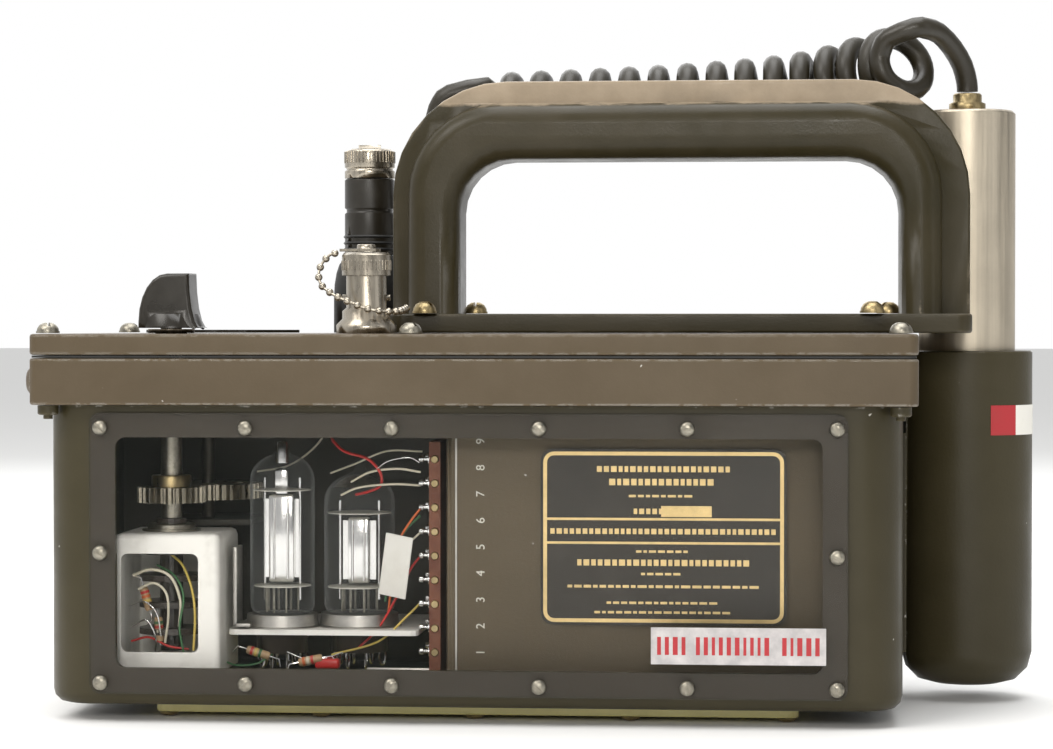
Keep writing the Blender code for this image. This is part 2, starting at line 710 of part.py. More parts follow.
def round_head(radius, height):
    """A round screw head on a thin washer face, standing on z = 0."""
    washer = height * 0.25
    dome = [(radius * sin(radians(a)), washer + (height - washer) * cos(radians(a)))
            for a in (0, 30, 60, 86)]
    return turned(dome + [(radius, washer * 0.8), (radius, 0), (0, 0)], 16)


def make_panel_screws():
    x = LID_LENGTH / 2 - PANEL_SCREW_INSET
    y = LID_DEPTH / 2 - PANEL_SCREW_INSET
    columns = (-x, LEFT + PANEL_SCREW_MIDDLE, x)
    places = [(column, row) for row in (-y, y) for column in columns]
    for number, (column, row) in enumerate(places, 1):
        head = round_head(PANEL_HEAD_RADIUS, PANEL_HEAD_HEIGHT)
        show(head, f"panel_screw_{number}", "steel", (column, row, Z_TOP + SEAT))


def make_strap_stud():
    neck = STUD_REACH * 0.35
    dome = [(STUD_RADIUS * sin(radians(a)), neck + (STUD_REACH - neck) * cos(radians(a)))
            for a in (0, 40, 76)]
    stud = turned(dome + [(STUD_RADIUS, neck), (STUD_RADIUS * 0.55, neck),
                          (STUD_RADIUS * 0.55, 0), (0, 0)], 16)
    place = (LEFT - SEAT, FRONT + STUD_FROM_FRONT, Z_COLLAR + COLLAR_HEIGHT / 2)
    show(stud, "strap_stud", "panel_paint", place, (0, -pi / 2, 0))


# ---------------------------------------------------------------- well, probe and cord


def make_well():
    inner = WELL_RADIUS - WELL_WALL
    lip = PROBE_RADIUS + 2 * RUNNING
    height = WELL_RIM - Z_CASE
    foot = WELL_FOOT_ROUND
    outer_foot = [(WELL_RADIUS - foot + foot * cos(radians(a)), foot - foot * sin(radians(a)))
                  for a in (0, 30, 60, 90)]
    inner_foot = [(inner - foot + foot * cos(radians(a)),
                   WELL_WALL + foot - foot * sin(radians(a))) for a in (90, 45, 0)]
    profile = [(0, WELL_WALL)] + inner_foot
    profile += [(inner, height - WELL_LIP), (lip, height - WELL_LIP), (lip, height - WELL_EDGE),
                (lip + WELL_EDGE, height), (WELL_RADIUS - WELL_EDGE, height),
                (WELL_RADIUS, height - WELL_EDGE)]
    well = turned(profile + outer_foot + [(0, 0)], 40)
    web_length = WELL_GAP + WELL_WALL * 0.6
    web = block(web_length, WELL_WEB_WIDTH, CASE_HEIGHT - 2 * foot)
    start = CASE_LENGTH / 2 + SEAT
    fuse(well, as_cutter(web, (start + web_length / 2, WELL_Y, Z_CASE + foot)))
    show(well, "probe_well", "olive_paint", (WELL_X, WELL_Y, Z_CASE))


def make_probe():
    floor = Z_CASE + WELL_WALL + RUNNING
    tube_foot = floor + PROBE_CAP_HEIGHT + SEAT
    radius = PROBE_RADIUS
    taper = radius * PROBE_TAPER_TO
    cap = turned([(0, PROBE_CAP_HEIGHT), (taper, PROBE_CAP_HEIGHT),
                  (taper, PROBE_CAP_HEIGHT * 0.6), (radius * 0.5, 0), (0, 0)], 28)
    show(cap, "probe_end_cap", "black_plastic", (WELL_X, WELL_Y, floor))
    length = PROBE_TOP - tube_foot
    body = turned([(0, length), (radius - PROBE_EDGE, length), (radius, length - PROBE_EDGE),
                   (radius, PROBE_TAPER), (taper, 0), (0, 0)], 40)
    show(body, "probe_tube", "satin_aluminium", (WELL_X, WELL_Y, tube_foot))
    flange = GLAND_HEIGHT * 0.5
    gland = turned([(0, GLAND_HEIGHT), (GLAND_NUT_RADIUS * 0.9, GLAND_HEIGHT),
                    (GLAND_NUT_RADIUS, GLAND_HEIGHT - GLAND_EDGE), (GLAND_NUT_RADIUS, flange),
                    (GLAND_FLANGE_RADIUS, flange - GLAND_EDGE), (GLAND_FLANGE_RADIUS, 0),
                    (0, 0)], 24)
    show(gland, "probe_gland", "brass", (WELL_X, WELL_Y, PROBE_TOP + SEAT))


def make_panel_gland():
    height = PANEL_GLAND_HEIGHT
    radius = PANEL_GLAND_RADIUS
    gland = turned([(0, height), (radius * 0.62, height), (radius * 0.75, height * 0.62),
                    (radius, height * 0.55), (radius, 0), (0, 0)], 24)
    show(gland, "panel_gland", "brass", (GLAND_X, GLAND_Y, Z_TOP + SEAT))


def make_cord():
    above = PROBE_TOP + SEAT + GLAND_HEIGHT + 2 * RUNNING
    route = [(WELL_X, WELL_Y, above), (WELL_X, WELL_Y, above + CORD_DIAMETER * 0.6)]
    lead = tube(smooth_path(route + moved(LEAD_FROM_WELL, WELL_ORIGIN), 3), CORD_DIAMETER / 2, 1)
    show(lead, "cord_lead", "cord_rubber")
    coil = tube(smooth_path(moved(COIL_FROM_LID, LID_ORIGIN), 3), COIL_RADIUS, 4)
    show(coil, "cord_coil", "cord_rubber")
    foot = (GLAND_X, GLAND_Y, Z_TOP + SEAT + PANEL_GLAND_HEIGHT + SEAT)
    tail = tube(smooth_path(moved(TAIL_FROM_GLAND, GLAND_ORIGIN) + [foot], 3),
                CORD_DIAMETER / 2, 1)
    show(tail, "cord_tail", "cord_rubber")


# ---------------------------------------------------------------- handle


def handle_arch(left=0.0, over=0.0, right=0.0):
    """An arch's outline from its left foot, its outer side moved in by the given sizes."""
    length = HANDLE_RIGHT - HANDLE_LEFT
    x0, x1, top = left, length - right, HANDLE_HEIGHT - over
    r = HANDLE_OUTER_ROUND - over
    outline = arc((x1 - r, top - r), r, 0, 90, 8)
    outline += arc((x0 + r, top - r), r, 90, 180, 8)
    outline += [(x0, 0), (HANDLE_LEG, 0)]
    under = HANDLE_HEIGHT - HANDLE_BAR
    q = HANDLE_INNER_ROUND
    outline += arc((HANDLE_LEG + q, under - q), q, 180, 90, 6)
    outline += arc((length - HANDLE_LEG - q, under - q), q, 90, 0, 6)
    return outline + [(length - HANDLE_LEG, 0), (x1, 0)]


def make_handle():
    arch = plate([handle_arch(BAR_FROM_LEFT, BAR_FROM_TOP, BAR_FROM_RIGHT)],
                 HANDLE_GRIP_DEPTH, HANDLE_EDGE_ROUND, 3)
    web = plate([handle_arch()], HANDLE_WEB, HANDLE_WEB_EDGE)
    stand = (HANDLE_LEFT, HANDLE_Y + HANDLE_WEB / 2, Z_TOP + SEAT)
    fuse(arch, as_cutter(web, stand, (pi / 2, 0, 0)))
    length = HANDLE_RIGHT - HANDLE_LEFT
    middle = (HANDLE_LEFT + HANDLE_RIGHT) / 2
    foot = plate([rounded_rectangle(-length / 2, -FOOT_DEPTH / 2, length / 2, FOOT_DEPTH / 2,
                                    FOOT_CORNER)], FOOT_THICKNESS, FOOT_EDGE)
    relief = rod(PROBE_RADIUS + PROBE_RELIEF, FOOT_THICKNESS + 2 * THROUGH, 48)
    fuse(arch, as_cutter(foot, (middle, HANDLE_Y, Z_TOP + SEAT)))
    cut(arch, as_cutter(relief, (WELL_X, WELL_Y, Z_TOP - THROUGH)))
    stand = (HANDLE_LEFT, HANDLE_Y + HANDLE_GRIP_DEPTH / 2, Z_TOP + SEAT)
    show(arch, "handle", "olive_paint", stand, (pi / 2, 0, 0))
    front = HANDLE_Y - FOOT_DEPTH / 2 + FOOT_SCREW_RADIUS + FOOT_EDGE
    back = FOOT_BACK - FOOT_SCREW_RADIUS - FOOT_EDGE
    places = []
    for row, (from_left, from_right) in ((front, FOOT_SCREWS_FRONT), (back, FOOT_SCREWS_BACK)):
        places += [(HANDLE_LEFT + from_left, row), (HANDLE_RIGHT - from_right, row)]
    for number, (x, y) in enumerate(places, 1):
        head = round_head(FOOT_SCREW_RADIUS, FOOT_SCREW_HEIGHT)
        top = Z_TOP + SEAT + FOOT_THICKNESS + SEAT
        show(head, f"handle_screw_{number}", "steel", (x, y, top))


# ---------------------------------------------------------------- range switch and gears


def gear_outline(teeth):
    """An involute spur gear's outline with its first tooth on +X."""
    pitch = GEAR_MODULE * teeth / 2
    base = pitch * cos(radians(20))
    tip = pitch + GEAR_MODULE * 0.95
    root = pitch - GEAR_MODULE * 1.2
    roll_at_pitch = tan(radians(20)) - radians(20)
    half = pi / (2 * teeth) - GEAR_BACKLASH / (2 * pitch) + roll_at_pitch

    def half_angle(radius):
        pressure = acos(min(1.0, base / radius))
        return half - (tan(pressure) - pressure)

    radii = [max(root, base), pitch, tip]
    outline = []
    for tooth in range(teeth):
        centre = 2 * pi * tooth / teeth
        flank = [(root, half_angle(radii[0]))] + [(r, half_angle(r)) for r in radii]
        left = [(r, centre - a) for r, a in flank]
        right = [(r, centre + a) for r, a in reversed(flank)]
        outline += [(r * cos(a), r * sin(a)) for r, a in left + right]
    return outline


def make_gears():
    drive = plate([gear_outline(DRIVE_TEETH), arc((0, 0), SHAFT_RADIUS + SEAT, 0, 345, 23)],
                  GEAR_WIDTH)
    lean = radians(SCALE_LEAN)
    show(drive, "drive_gear", "brass", (KNOB_X, KNOB_Y, Z_GEAR), (0, 0, lean))
    pitch = GEAR_MODULE * SCALE_TEETH / 2
    holes = [arc((pitch * 0.58 * cos(a), pitch * 0.58 * sin(a)), pitch * 0.2, 0, 330, 11)
             for a in (0, pi * 0.4, pi * 0.8, pi * 1.2, pi * 1.6)]
    bore = arc((0, 0), ARBOR_RADIUS + SEAT, 0, 345, 23)
    scale = plate([gear_outline(SCALE_TEETH), bore] + holes, GEAR_WIDTH)
    half_tooth = pi / SCALE_TEETH
    show(scale, "scale_gear", "brass", (SCALE_X, SCALE_Y, Z_GEAR), (0, 0, lean + half_tooth))
    foot = Z_GEAR - ARBOR_FOOT
    arbor = rod(ARBOR_RADIUS, Z_DIAL + DIAL_THICKNESS - foot, 24)
    show(arbor, "scale_arbor", "steel", (SCALE_X, SCALE_Y, foot))


def make_dial_and_pointer():
    spread_to = 90 + METER_WINDOW_HALF + DIAL_SPARE + DIAL_TURN
    spread_from = 90 - METER_WINDOW_HALF - DIAL_SPARE
    hub = ARBOR_RADIUS * DIAL_HUB_SHARE
    outline = arc((0, 0), DIAL_RADIUS, spread_from, spread_to, 24)
    outline += arc((0, 0), hub, spread_to + 20, spread_from + 340, 8)
    bore = arc((0, 0), ARBOR_RADIUS + SEAT, 0, 345, 23)
    dial = plate([outline, bore], DIAL_THICKNESS)
    show(dial, "scale_dial", "white_enamel", (SCALE_X, SCALE_Y, Z_DIAL))
    movement = turned([(0, MOVEMENT_HEIGHT), (MOVEMENT_RADIUS, MOVEMENT_HEIGHT),
                       (MOVEMENT_RADIUS, MOVEMENT_EDGE), (MOVEMENT_RADIUS - MOVEMENT_EDGE, 0),
                       (0, 0)], 28)
    z_movement = Z_PANEL - SEAT - MOVEMENT_HEIGHT
    show(movement, "meter_movement", "black_plastic", (SCALE_X, SCALE_Y, z_movement))
    swing = radians(90 + POINTER_SWING / 2)
    hub_outline = arc((0, 0), POINTER_HUB, 20, 340, 16)
    blade = hub_outline + [(POINTER_REACH, -POINTER_HALF_WIDTH),
                           (POINTER_REACH, POINTER_HALF_WIDTH)]
    pointer = plate([blade], POINTER_THICKNESS)
    z_pointer = z_movement - RUNNING - POINTER_THICKNESS
    show(pointer, "meter_pointer", "black_plastic", (SCALE_X, SCALE_Y, z_pointer),
         (0, 0, swing))


def make_meter_window():
    glass = plate([grown_fan(-SEAT)], METER_GLASS)
    show(glass, "meter_glass", "clear_plastic", (0, 0, Z_TOP - LID_EDGE_ROUND - METER_GLASS))
    bezel = plate([grown_fan(BEZEL_WIDTH), grown_fan(-BEZEL_THICKNESS)], BEZEL_THICKNESS)
    show(bezel, "meter_bezel", "black_plastic", (0, 0, Z_TOP + SEAT))


def knob_side():
    """The pointer knob from the front: sloping nose, flat top, hollow tail."""
    top = KNOB_HEIGHT
    nose = [(-KNOB_NOSE * cos(radians(a)),
             top * 0.12 + top * 0.88 * sin(radians(a))) for a in (0, 15, 30, 45, 60, 75, 90)]
    crown = KNOB_TAIL * 0.66
    tail = [(KNOB_TAIL - (KNOB_TAIL - crown) * sin(radians(a)),
             top * (1 - cos(radians(a)))) for a in (88, 70, 50, 30, 12)]
    return [(-KNOB_NOSE, 0)] + nose + [(crown, top)] + tail + [(KNOB_TAIL, 0)]


def make_knob():
    knob = plate([knob_side()], KNOB_BREADTH, KNOB_EDGE, 2)
    skirt = turned([(0, KNOB_SKIRT), (KNOB_TAIL * 0.84, KNOB_SKIRT),
                    (KNOB_TAIL * 0.97, KNOB_SKIRT * 0.15), (KNOB_TAIL * 0.97, 0), (0, 0)], 28)
    base = Z_TOP + SEAT + BUSHING_NUT + RUNNING
    fuse(knob, as_cutter(skirt, (KNOB_X, KNOB_Y, base)))
    bore_depth = KNOB_HEIGHT * KNOB_BORE_SHARE
    bore = rod(SHAFT_RADIUS + SEAT, bore_depth + THROUGH, 24)
    cut(knob, as_cutter(bore, (KNOB_X, KNOB_Y, base - THROUGH)))
    show(knob, "range_knob", "black_plastic", (KNOB_X, KNOB_Y + KNOB_BREADTH / 2, base),
         (pi / 2, 0, 0))
    foot = Z_CAN_TOP + SWITCH_BUSHING_HEIGHT
    top = base + bore_depth - SEAT
    shaft = rod(SHAFT_RADIUS, top - foot, 24)
    show(shaft, "switch_shaft", "steel", (KNOB_X, KNOB_Y, foot))


def make_panel_bushing():
    bore = SHAFT_RADIUS + RUNNING
    top = LID_PLATE + SEAT + BUSHING_NUT
    profile = [(bore, top), (BUSHING_NUT_RADIUS, top), (BUSHING_NUT_RADIUS, LID_PLATE + SEAT),
               (BUSHING_RADIUS, LID_PLATE + SEAT), (BUSHING_RADIUS, -BUSHING_BELOW),
               (bore, -BUSHING_BELOW), (bore, top)]
    bushing = turned(profile, 24)
    show(bushing, "panel_bushing", "nickel", (KNOB_X, KNOB_Y, Z_PANEL))


def make_switch():
    mesh_data = bmesh.new()
    bmesh.ops.create_cube(mesh_data, size=1.0)
    bmesh.ops.scale(mesh_data, vec=(CAN_WIDTH, CAN_DEPTH, CAN_HEIGHT), verts=mesh_data.verts)
    edges = [e for e in mesh_data.edges if max(v.co.z for v in e.verts) > 0]
    bmesh.ops.bevel(mesh_data, geom=edges, offset=CAN_ROUND, segments=2, profile=0.5,
                    affect="EDGES")
    base = [f for f in mesh_data.faces
            if max(v.co.z for v in f.verts) < -CAN_HEIGHT / 2 + SAME_HEIGHT]
    bmesh.ops.delete(mesh_data, geom=base, context="FACES_ONLY")
    can = from_bmesh(mesh_data)
    wall = can.modifiers.new("wall", "SOLIDIFY")
    wall.thickness = CAN_WALL
    wall.offset = -1
    wall.use_even_offset = True
    x = LEFT + CAN_FROM_LEFT + CAN_WIDTH / 2
    y = FRONT + CAN_FROM_FRONT + CAN_DEPTH / 2
    z = Z_CAN_TOP - CAN_HEIGHT / 2
    end = CAN_HEIGHT / 2 - CAN_SIGHT_ENDS
    outline = rounded_rectangle(-CAN_WIDTH / 2 + CAN_SIGHT_LEFT, -end,
                                CAN_WIDTH / 2 - CAN_SIGHT_RIGHT, end, CAN_ROUND)
    sight = plate([outline], 2 * THROUGH)
    cut(can, as_cutter(sight, (x, y - CAN_DEPTH / 2 + THROUGH, z), (pi / 2, 0, 0)))
    hole = rod(SWITCH_BUSHING_RADIUS + SEAT, 2 * THROUGH, 24)
    cut(can, as_cutter(hole, (KNOB_X, KNOB_Y, Z_CAN_TOP - THROUGH)))
    show(can, "switch_shield", "white_enamel", (x, y, z))
    bushing_top = SWITCH_BUSHING_HEIGHT - SEAT
    wafers = [(0, bushing_top), (SWITCH_BUSHING_RADIUS, bushing_top),
              (SWITCH_BUSHING_RADIUS, -SPINE_NECK)]
    for share in WAFER_SHARES:
        level = -CAN_HEIGHT * share
        top, foot = level + WAFER_ABOVE, level - WAFER_BELOW
        wafers += [(SPINE_RADIUS, top), (WAFER_RADIUS, top), (WAFER_RADIUS, foot),
                   (SPINE_RADIUS, foot)]
    spine_foot = -CAN_HEIGHT * SPINE_SHARE
    switch = turned(wafers + [(SPINE_RADIUS, spine_foot), (0, spine_foot)], 16)
    show(switch, "switch_wafers", "phenolic", (KNOB_X, KNOB_Y, Z_CAN_TOP))


# ---------------------------------------------------------------- jack and post


def make_jack():
    r = JACK_RADIUS
    h = JACK_HEIGHT
    ring_foot, ring_edge, ring_top = JACK_RING_HEIGHTS
    body = turned([(0, h), (r - JACK_EDGE, h), (r, h - JACK_EDGE), (r, ring_top),
                   (r + JACK_RING, ring_edge), (r + JACK_RING, ring_foot),
                   (JACK_FLANGE_RADIUS - JACK_EDGE, JACK_FLANGE),
                   (JACK_FLANGE_RADIUS, JACK_FLANGE - JACK_EDGE), (JACK_FLANGE_RADIUS, 0),
                   (0, 0)], 24)
    pin_reach = JACK_CAP_RADIUS - JACK_PIN_SHORT
    pin = rod(JACK_PIN_RADIUS, 2 * pin_reach, 10)
    place = (JACK_X - pin_reach, JACK_Y, Z_TOP + SEAT + JACK_PIN_HEIGHT)
    fuse(body, as_cutter(pin, place, (0, pi / 2, 0)))
    show(body, "phone_jack", "nickel", (JACK_X, JACK_Y, Z_TOP + SEAT))
    cap_inner = JACK_CAP_RADIUS - JACK_CAP_WALL
    ceiling = JACK_CAP_HEIGHT - JACK_CAP_ROOF
    boss = JACK_CAP_HEIGHT + JACK_BOSS_HEIGHT
    cap = turned([(0, boss), (JACK_BOSS_RADIUS - JACK_BOSS_EDGE, boss),
                  (JACK_BOSS_RADIUS, boss - JACK_BOSS_EDGE),
                  (JACK_BOSS_RADIUS, JACK_CAP_HEIGHT),
                  (JACK_CAP_RADIUS - JACK_CAP_EDGE, JACK_CAP_HEIGHT),
                  (JACK_CAP_RADIUS, JACK_CAP_HEIGHT - JACK_CAP_EDGE), (JACK_CAP_RADIUS, 0),
                  (cap_inner, 0), (cap_inner, ceiling), (0, ceiling)], 24)
    cap_foot = Z_TOP + SEAT + JACK_HEIGHT + RUNNING - ceiling
    show(cap, "jack_cap", "nickel", (JACK_X, JACK_Y, cap_foot))
    ring = JACK_BOSS_RADIUS + RUNNING
    tail = -JACK_CAP_RADIUS - CLIP_TAIL
    outline = arc((0, 0), ring + CLIP_RING, -150, 150, 14)
    outline += [(tail, CLIP_TAIL_HALF), (tail, -CLIP_TAIL_HALF)]
    clip = plate([outline, arc((0, 0), ring, 0, 345, 23)], CLIP_THICKNESS)
    show(clip, "chain_clip", "nickel",
         (JACK_X, JACK_Y, cap_foot + JACK_CAP_HEIGHT + RUNNING))
    chain = tube(smooth_path(moved(CHAIN_FROM_JACK, JACK_ORIGIN), 3), CHAIN_DIAMETER / 2, 1)
    show(chain, "cap_chain", "nickel")


def make_post():
    z = Z_TOP + SEAT
    r = POST_BOOT_RADIUS
    h = POST_BOOT_HEIGHT
    shoulder = [(POST_RADIUS + (r - POST_RADIUS) * sin(radians(a)),
                 h * 0.45 + h * 0.5 * cos(radians(a))) for a in (10, 30, 50, 70, 90)]
    boot = turned([(0, h), (POST_RADIUS + POST_EDGE, h)] + shoulder + [(r, 0), (0, 0)], 24)
    show(boot, "post_boot", "black_rubber", (POST_X, POST_Y, z))
    z += h + SEAT
    h = POST_BODY_HEIGHT
    r = POST_RADIUS
    neck = r - POST_GROOVE
    body = turned([(0, h), (r - POST_EDGE, h), (r, h - POST_EDGE), (r, h * 0.62),
                   (neck, h * 0.60), (neck, h * 0.56), (r, h * 0.54), (r, 0), (0, 0)], 24)
    show(body, "post_body", "black_plastic", (POST_X, POST_Y, z))
    z += h + RUNNING
    h = POST_CAP_HEIGHT
    cap = turned([(0, h), (r - POST_CAP_EDGE, h), (r, h - POST_CAP_EDGE), (r, h * 0.38),
                  (neck, h * 0.34), (neck, h * 0.28), (r, h * 0.24), (r, 0), (0, 0)], 24)
    lug = block(*POST_LUG)
    fuse(cap, as_cutter(lug, (POST_X, POST_Y, z + h - POST_LUG_SUNK)))
    show(cap, "post_cap", "nickel", (POST_X, POST_Y, z))


# ---------------------------------------------------------------- inside the case


def make_backplane():
    """The folded frame that hangs from the panel and carries the works."""
    x0 = LEFT + BACKPLANE_LEFT
    x1 = LEFT + BOARD_FROM_LEFT - SEAT
    y = BACKPLANE_Y
    top = Z_DIAL - BACKPLANE_UNDER_DIAL
    foot = Z_DECK - BACKPLANE_BELOW_DECK
    wall = block(x1 - x0, BACKPLANE_THICKNESS, top - foot)
    ear_height = Z_PANEL - SEAT - top + BITE
    for x in (x0 + EARS_IN[0], x1 - EARS_IN[1]):
        ear = block(EAR_LENGTH, BACKPLANE_THICKNESS, ear_height)
        fuse(wall, as_cutter(ear, (x, y, top - BITE)))
    shelf_y = SCALE_Y - SHELF_IN_FRONT
    shelf = block(SHELF_LENGTH, y - shelf_y, BACKPLANE_THICKNESS)
    shelf_z = Z_GEAR - ARBOR_FOOT - RUNNING - BACKPLANE_THICKNESS
    fuse(wall, as_cutter(shelf, (SCALE_X, (y + shelf_y) / 2, shelf_z)))
    show(wall, "backplane", "satin_aluminium", ((x0 + x1) / 2, y, foot))


def make_deck():
    x0 = LEFT + DECK_LEFT
    x1 = x0 + DECK_LENGTH
    y0 = FRONT + DECK_FROM_FRONT
    y1 = BACKPLANE_Y - BACKPLANE_THICKNESS / 2 - SEAT
    outline = rounded_rectangle(x0, y0, x1, y1, DECK_CORNER, 2)
    valves = ((LEFT + VALVE_1_FROM_LEFT, FRONT + VALVE_1_FROM_FRONT, VALVE_1_RADIUS),
              (LEFT + VALVE_2_FROM_LEFT, FRONT + VALVE_2_FROM_FRONT, VALVE_2_RADIUS))
    holes = [arc((x, y), radius * SHANK_SHARE + SEAT, 0, 345, 23) for x, y, radius in valves]
    deck = plate([outline] + holes, DECK_THICKNESS)
    show(deck, "valve_deck", "satin_aluminium", (0, 0, Z_DECK))
    top = DECK_THICKNESS + SEAT
    heights = (VALVE_1_HEIGHT, VALVE_2_HEIGHT)
    for number, ((x, y, radius), height) in enumerate(zip(valves, heights), 1):
        shank = radius * SHANK_SHARE
        rim = radius + SOCKET_RIM
        socket = turned([(0, top + SOCKET_HEIGHT), (radius, top + SOCKET_HEIGHT),
                         (rim, top + SOCKET_HEIGHT - SOCKET_RIM), (rim, top), (shank, top),
                         (shank, -SOCKET_SKIRT), (0, -SOCKET_SKIRT)], 24)
        show(socket, f"valve_socket_{number}", "white_enamel", (x, y, Z_DECK))
        foot = Z_DECK + top + SOCKET_HEIGHT + SEAT
        crown = radius * SHANK_SHARE
        shoulder = height - VALVE_TIP_HEIGHT - crown
        dome = [(radius * sin(radians(a)), shoulder + crown * cos(radians(a)))
                for a in (18, 42, 66, 90)]
        tip = [(0, height), (VALVE_TIP_RADIUS * 0.9, height),
               (VALVE_TIP_RADIUS, height - VALVE_TIP_HEIGHT * 0.75)]
        glass = turned(tip + dome + [(radius, VALVE_FOOT_ROUND),
                                     (radius - VALVE_FOOT_ROUND, 0), (0, 0)], 24)
        show(glass, f"valve_{number}", "valve_glass", (x, y, foot))


def make_terminal_board():
    y0 = FRONT + DECK_FROM_FRONT
    y1 = CASE_DEPTH / 2 - CASE_WALL - BATTERY_WALL_GAP
    board = block(BOARD_THICKNESS, y1 - y0, BOARD_HEIGHT)
    place = (LEFT + BOARD_FROM_LEFT + BOARD_THICKNESS / 2, (y0 + y1) / 2,
             Z_PANEL - BOARD_DROP - BOARD_HEIGHT)
    show(board, "terminal_board", "phenolic", place)


def make_battery_box():
    x0 = LEFT + BATTERY_LEFT
    x1 = CASE_LENGTH / 2 - CASE_WALL - BATTERY_WALL_GAP
    y0 = CASE_FRONT + BATTERY_FROM_PANE
    y1 = CASE_DEPTH / 2 - CASE_WALL - BATTERY_WALL_GAP
    z0 = Z_CASE + CASE_WALL + BATTERY_FLOOR_GAP
    z1 = Z_PANEL - BATTERY_TOP_DROP
    battery_box = block(x1 - x0, y1 - y0, z1 - z0, BATTERY_ROUND, 2)
    show(battery_box, "battery_box", "olive_paint", ((x0 + x1) / 2, (y0 + y1) / 2, z0))
    left = LEFT + NAMEPLATE_FROM_LEFT
    low = Z_PANEL - NAMEPLATE_DROP - NAMEPLATE_HEIGHT
    badge = plate([rounded_rectangle(0, 0, NAMEPLATE_LENGTH, NAMEPLATE_HEIGHT, NAMEPLATE_CORNER)],
                  NAMEPLATE_THICKNESS)
    show(badge, "nameplate", "plate_black", (left, y0 - SEAT, low), (pi / 2, 0, 0))


def build():
    make_case()
    make_collar_and_seal()
    make_top_panel()
    make_side_window()
    make_floor_window()
    make_panel_screws()
    make_strap_stud()
    make_well()
    make_probe()
    make_panel_gland()
    make_cord()
    make_handle()
    make_gears()
    make_dial_and_pointer()
    make_meter_window()
    make_knob()
    make_panel_bushing()
    make_switch()
    make_jack()
    make_post()
    make_backplane()
    make_deck()
    make_terminal_board()
    make_battery_box()


build()
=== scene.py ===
"""The looks of a portable radiation survey meter with a cut-away case."""
import json
import random
from math import cos, pi, radians, sin

import bpy
from mathutils import Matrix, Vector

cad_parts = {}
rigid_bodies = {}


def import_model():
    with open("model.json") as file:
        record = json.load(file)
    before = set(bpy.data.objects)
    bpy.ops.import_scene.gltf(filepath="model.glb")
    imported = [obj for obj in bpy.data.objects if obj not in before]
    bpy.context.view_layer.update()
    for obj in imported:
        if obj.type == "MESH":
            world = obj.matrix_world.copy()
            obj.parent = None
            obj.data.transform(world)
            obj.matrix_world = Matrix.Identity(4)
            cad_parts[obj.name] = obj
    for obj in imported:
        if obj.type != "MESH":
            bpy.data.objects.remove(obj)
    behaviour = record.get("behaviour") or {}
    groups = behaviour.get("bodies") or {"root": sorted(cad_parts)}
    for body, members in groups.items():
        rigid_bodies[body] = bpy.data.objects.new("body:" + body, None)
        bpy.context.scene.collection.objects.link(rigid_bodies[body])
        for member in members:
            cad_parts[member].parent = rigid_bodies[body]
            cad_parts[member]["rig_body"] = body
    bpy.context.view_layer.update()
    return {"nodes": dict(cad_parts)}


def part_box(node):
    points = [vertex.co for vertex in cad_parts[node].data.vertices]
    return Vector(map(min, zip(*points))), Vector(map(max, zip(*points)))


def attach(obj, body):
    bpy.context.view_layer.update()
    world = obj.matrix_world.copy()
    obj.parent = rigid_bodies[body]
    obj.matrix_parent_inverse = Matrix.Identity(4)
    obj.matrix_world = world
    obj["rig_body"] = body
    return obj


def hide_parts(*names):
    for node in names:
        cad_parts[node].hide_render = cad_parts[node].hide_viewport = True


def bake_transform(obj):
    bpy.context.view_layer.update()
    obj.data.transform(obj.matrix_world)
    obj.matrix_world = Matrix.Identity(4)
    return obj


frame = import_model()

LID_LOW, LID_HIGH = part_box("top_panel")
LID_X = (LID_LOW.x + LID_HIGH.x) / 2
PANE_LOW, PANE_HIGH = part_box("side_window")
CORD_DIAMETER = 0.0066
COIL_RADIUS = 0.0124
COIL_PITCH = 0.0093
HANDLE_CORNER = 0.035       # outer round of the handle's corners
HANDLE_WEB = 0.0073         # height of the flat web that shows above the round bar
WEB_EDGE = 0.0016           # width of the web's outer edge, which slopes back
WEB_SLOPE = 0.0055
WINDOW_HEAD = (0.00225, 0.0011)
TERMINAL_ROWS = 9
TERMINAL_PITCH = 0.0072
FIRST_TERMINAL = 0.0052     # below the top of the board


def on_lid(x, y, z):
    """A place measured from the lid's centre, in millimetres, as one in the frame."""
    return Vector((LID_X + x / 1000, y / 1000, z / 1000))


# ------------------------------------------------------------------ materials


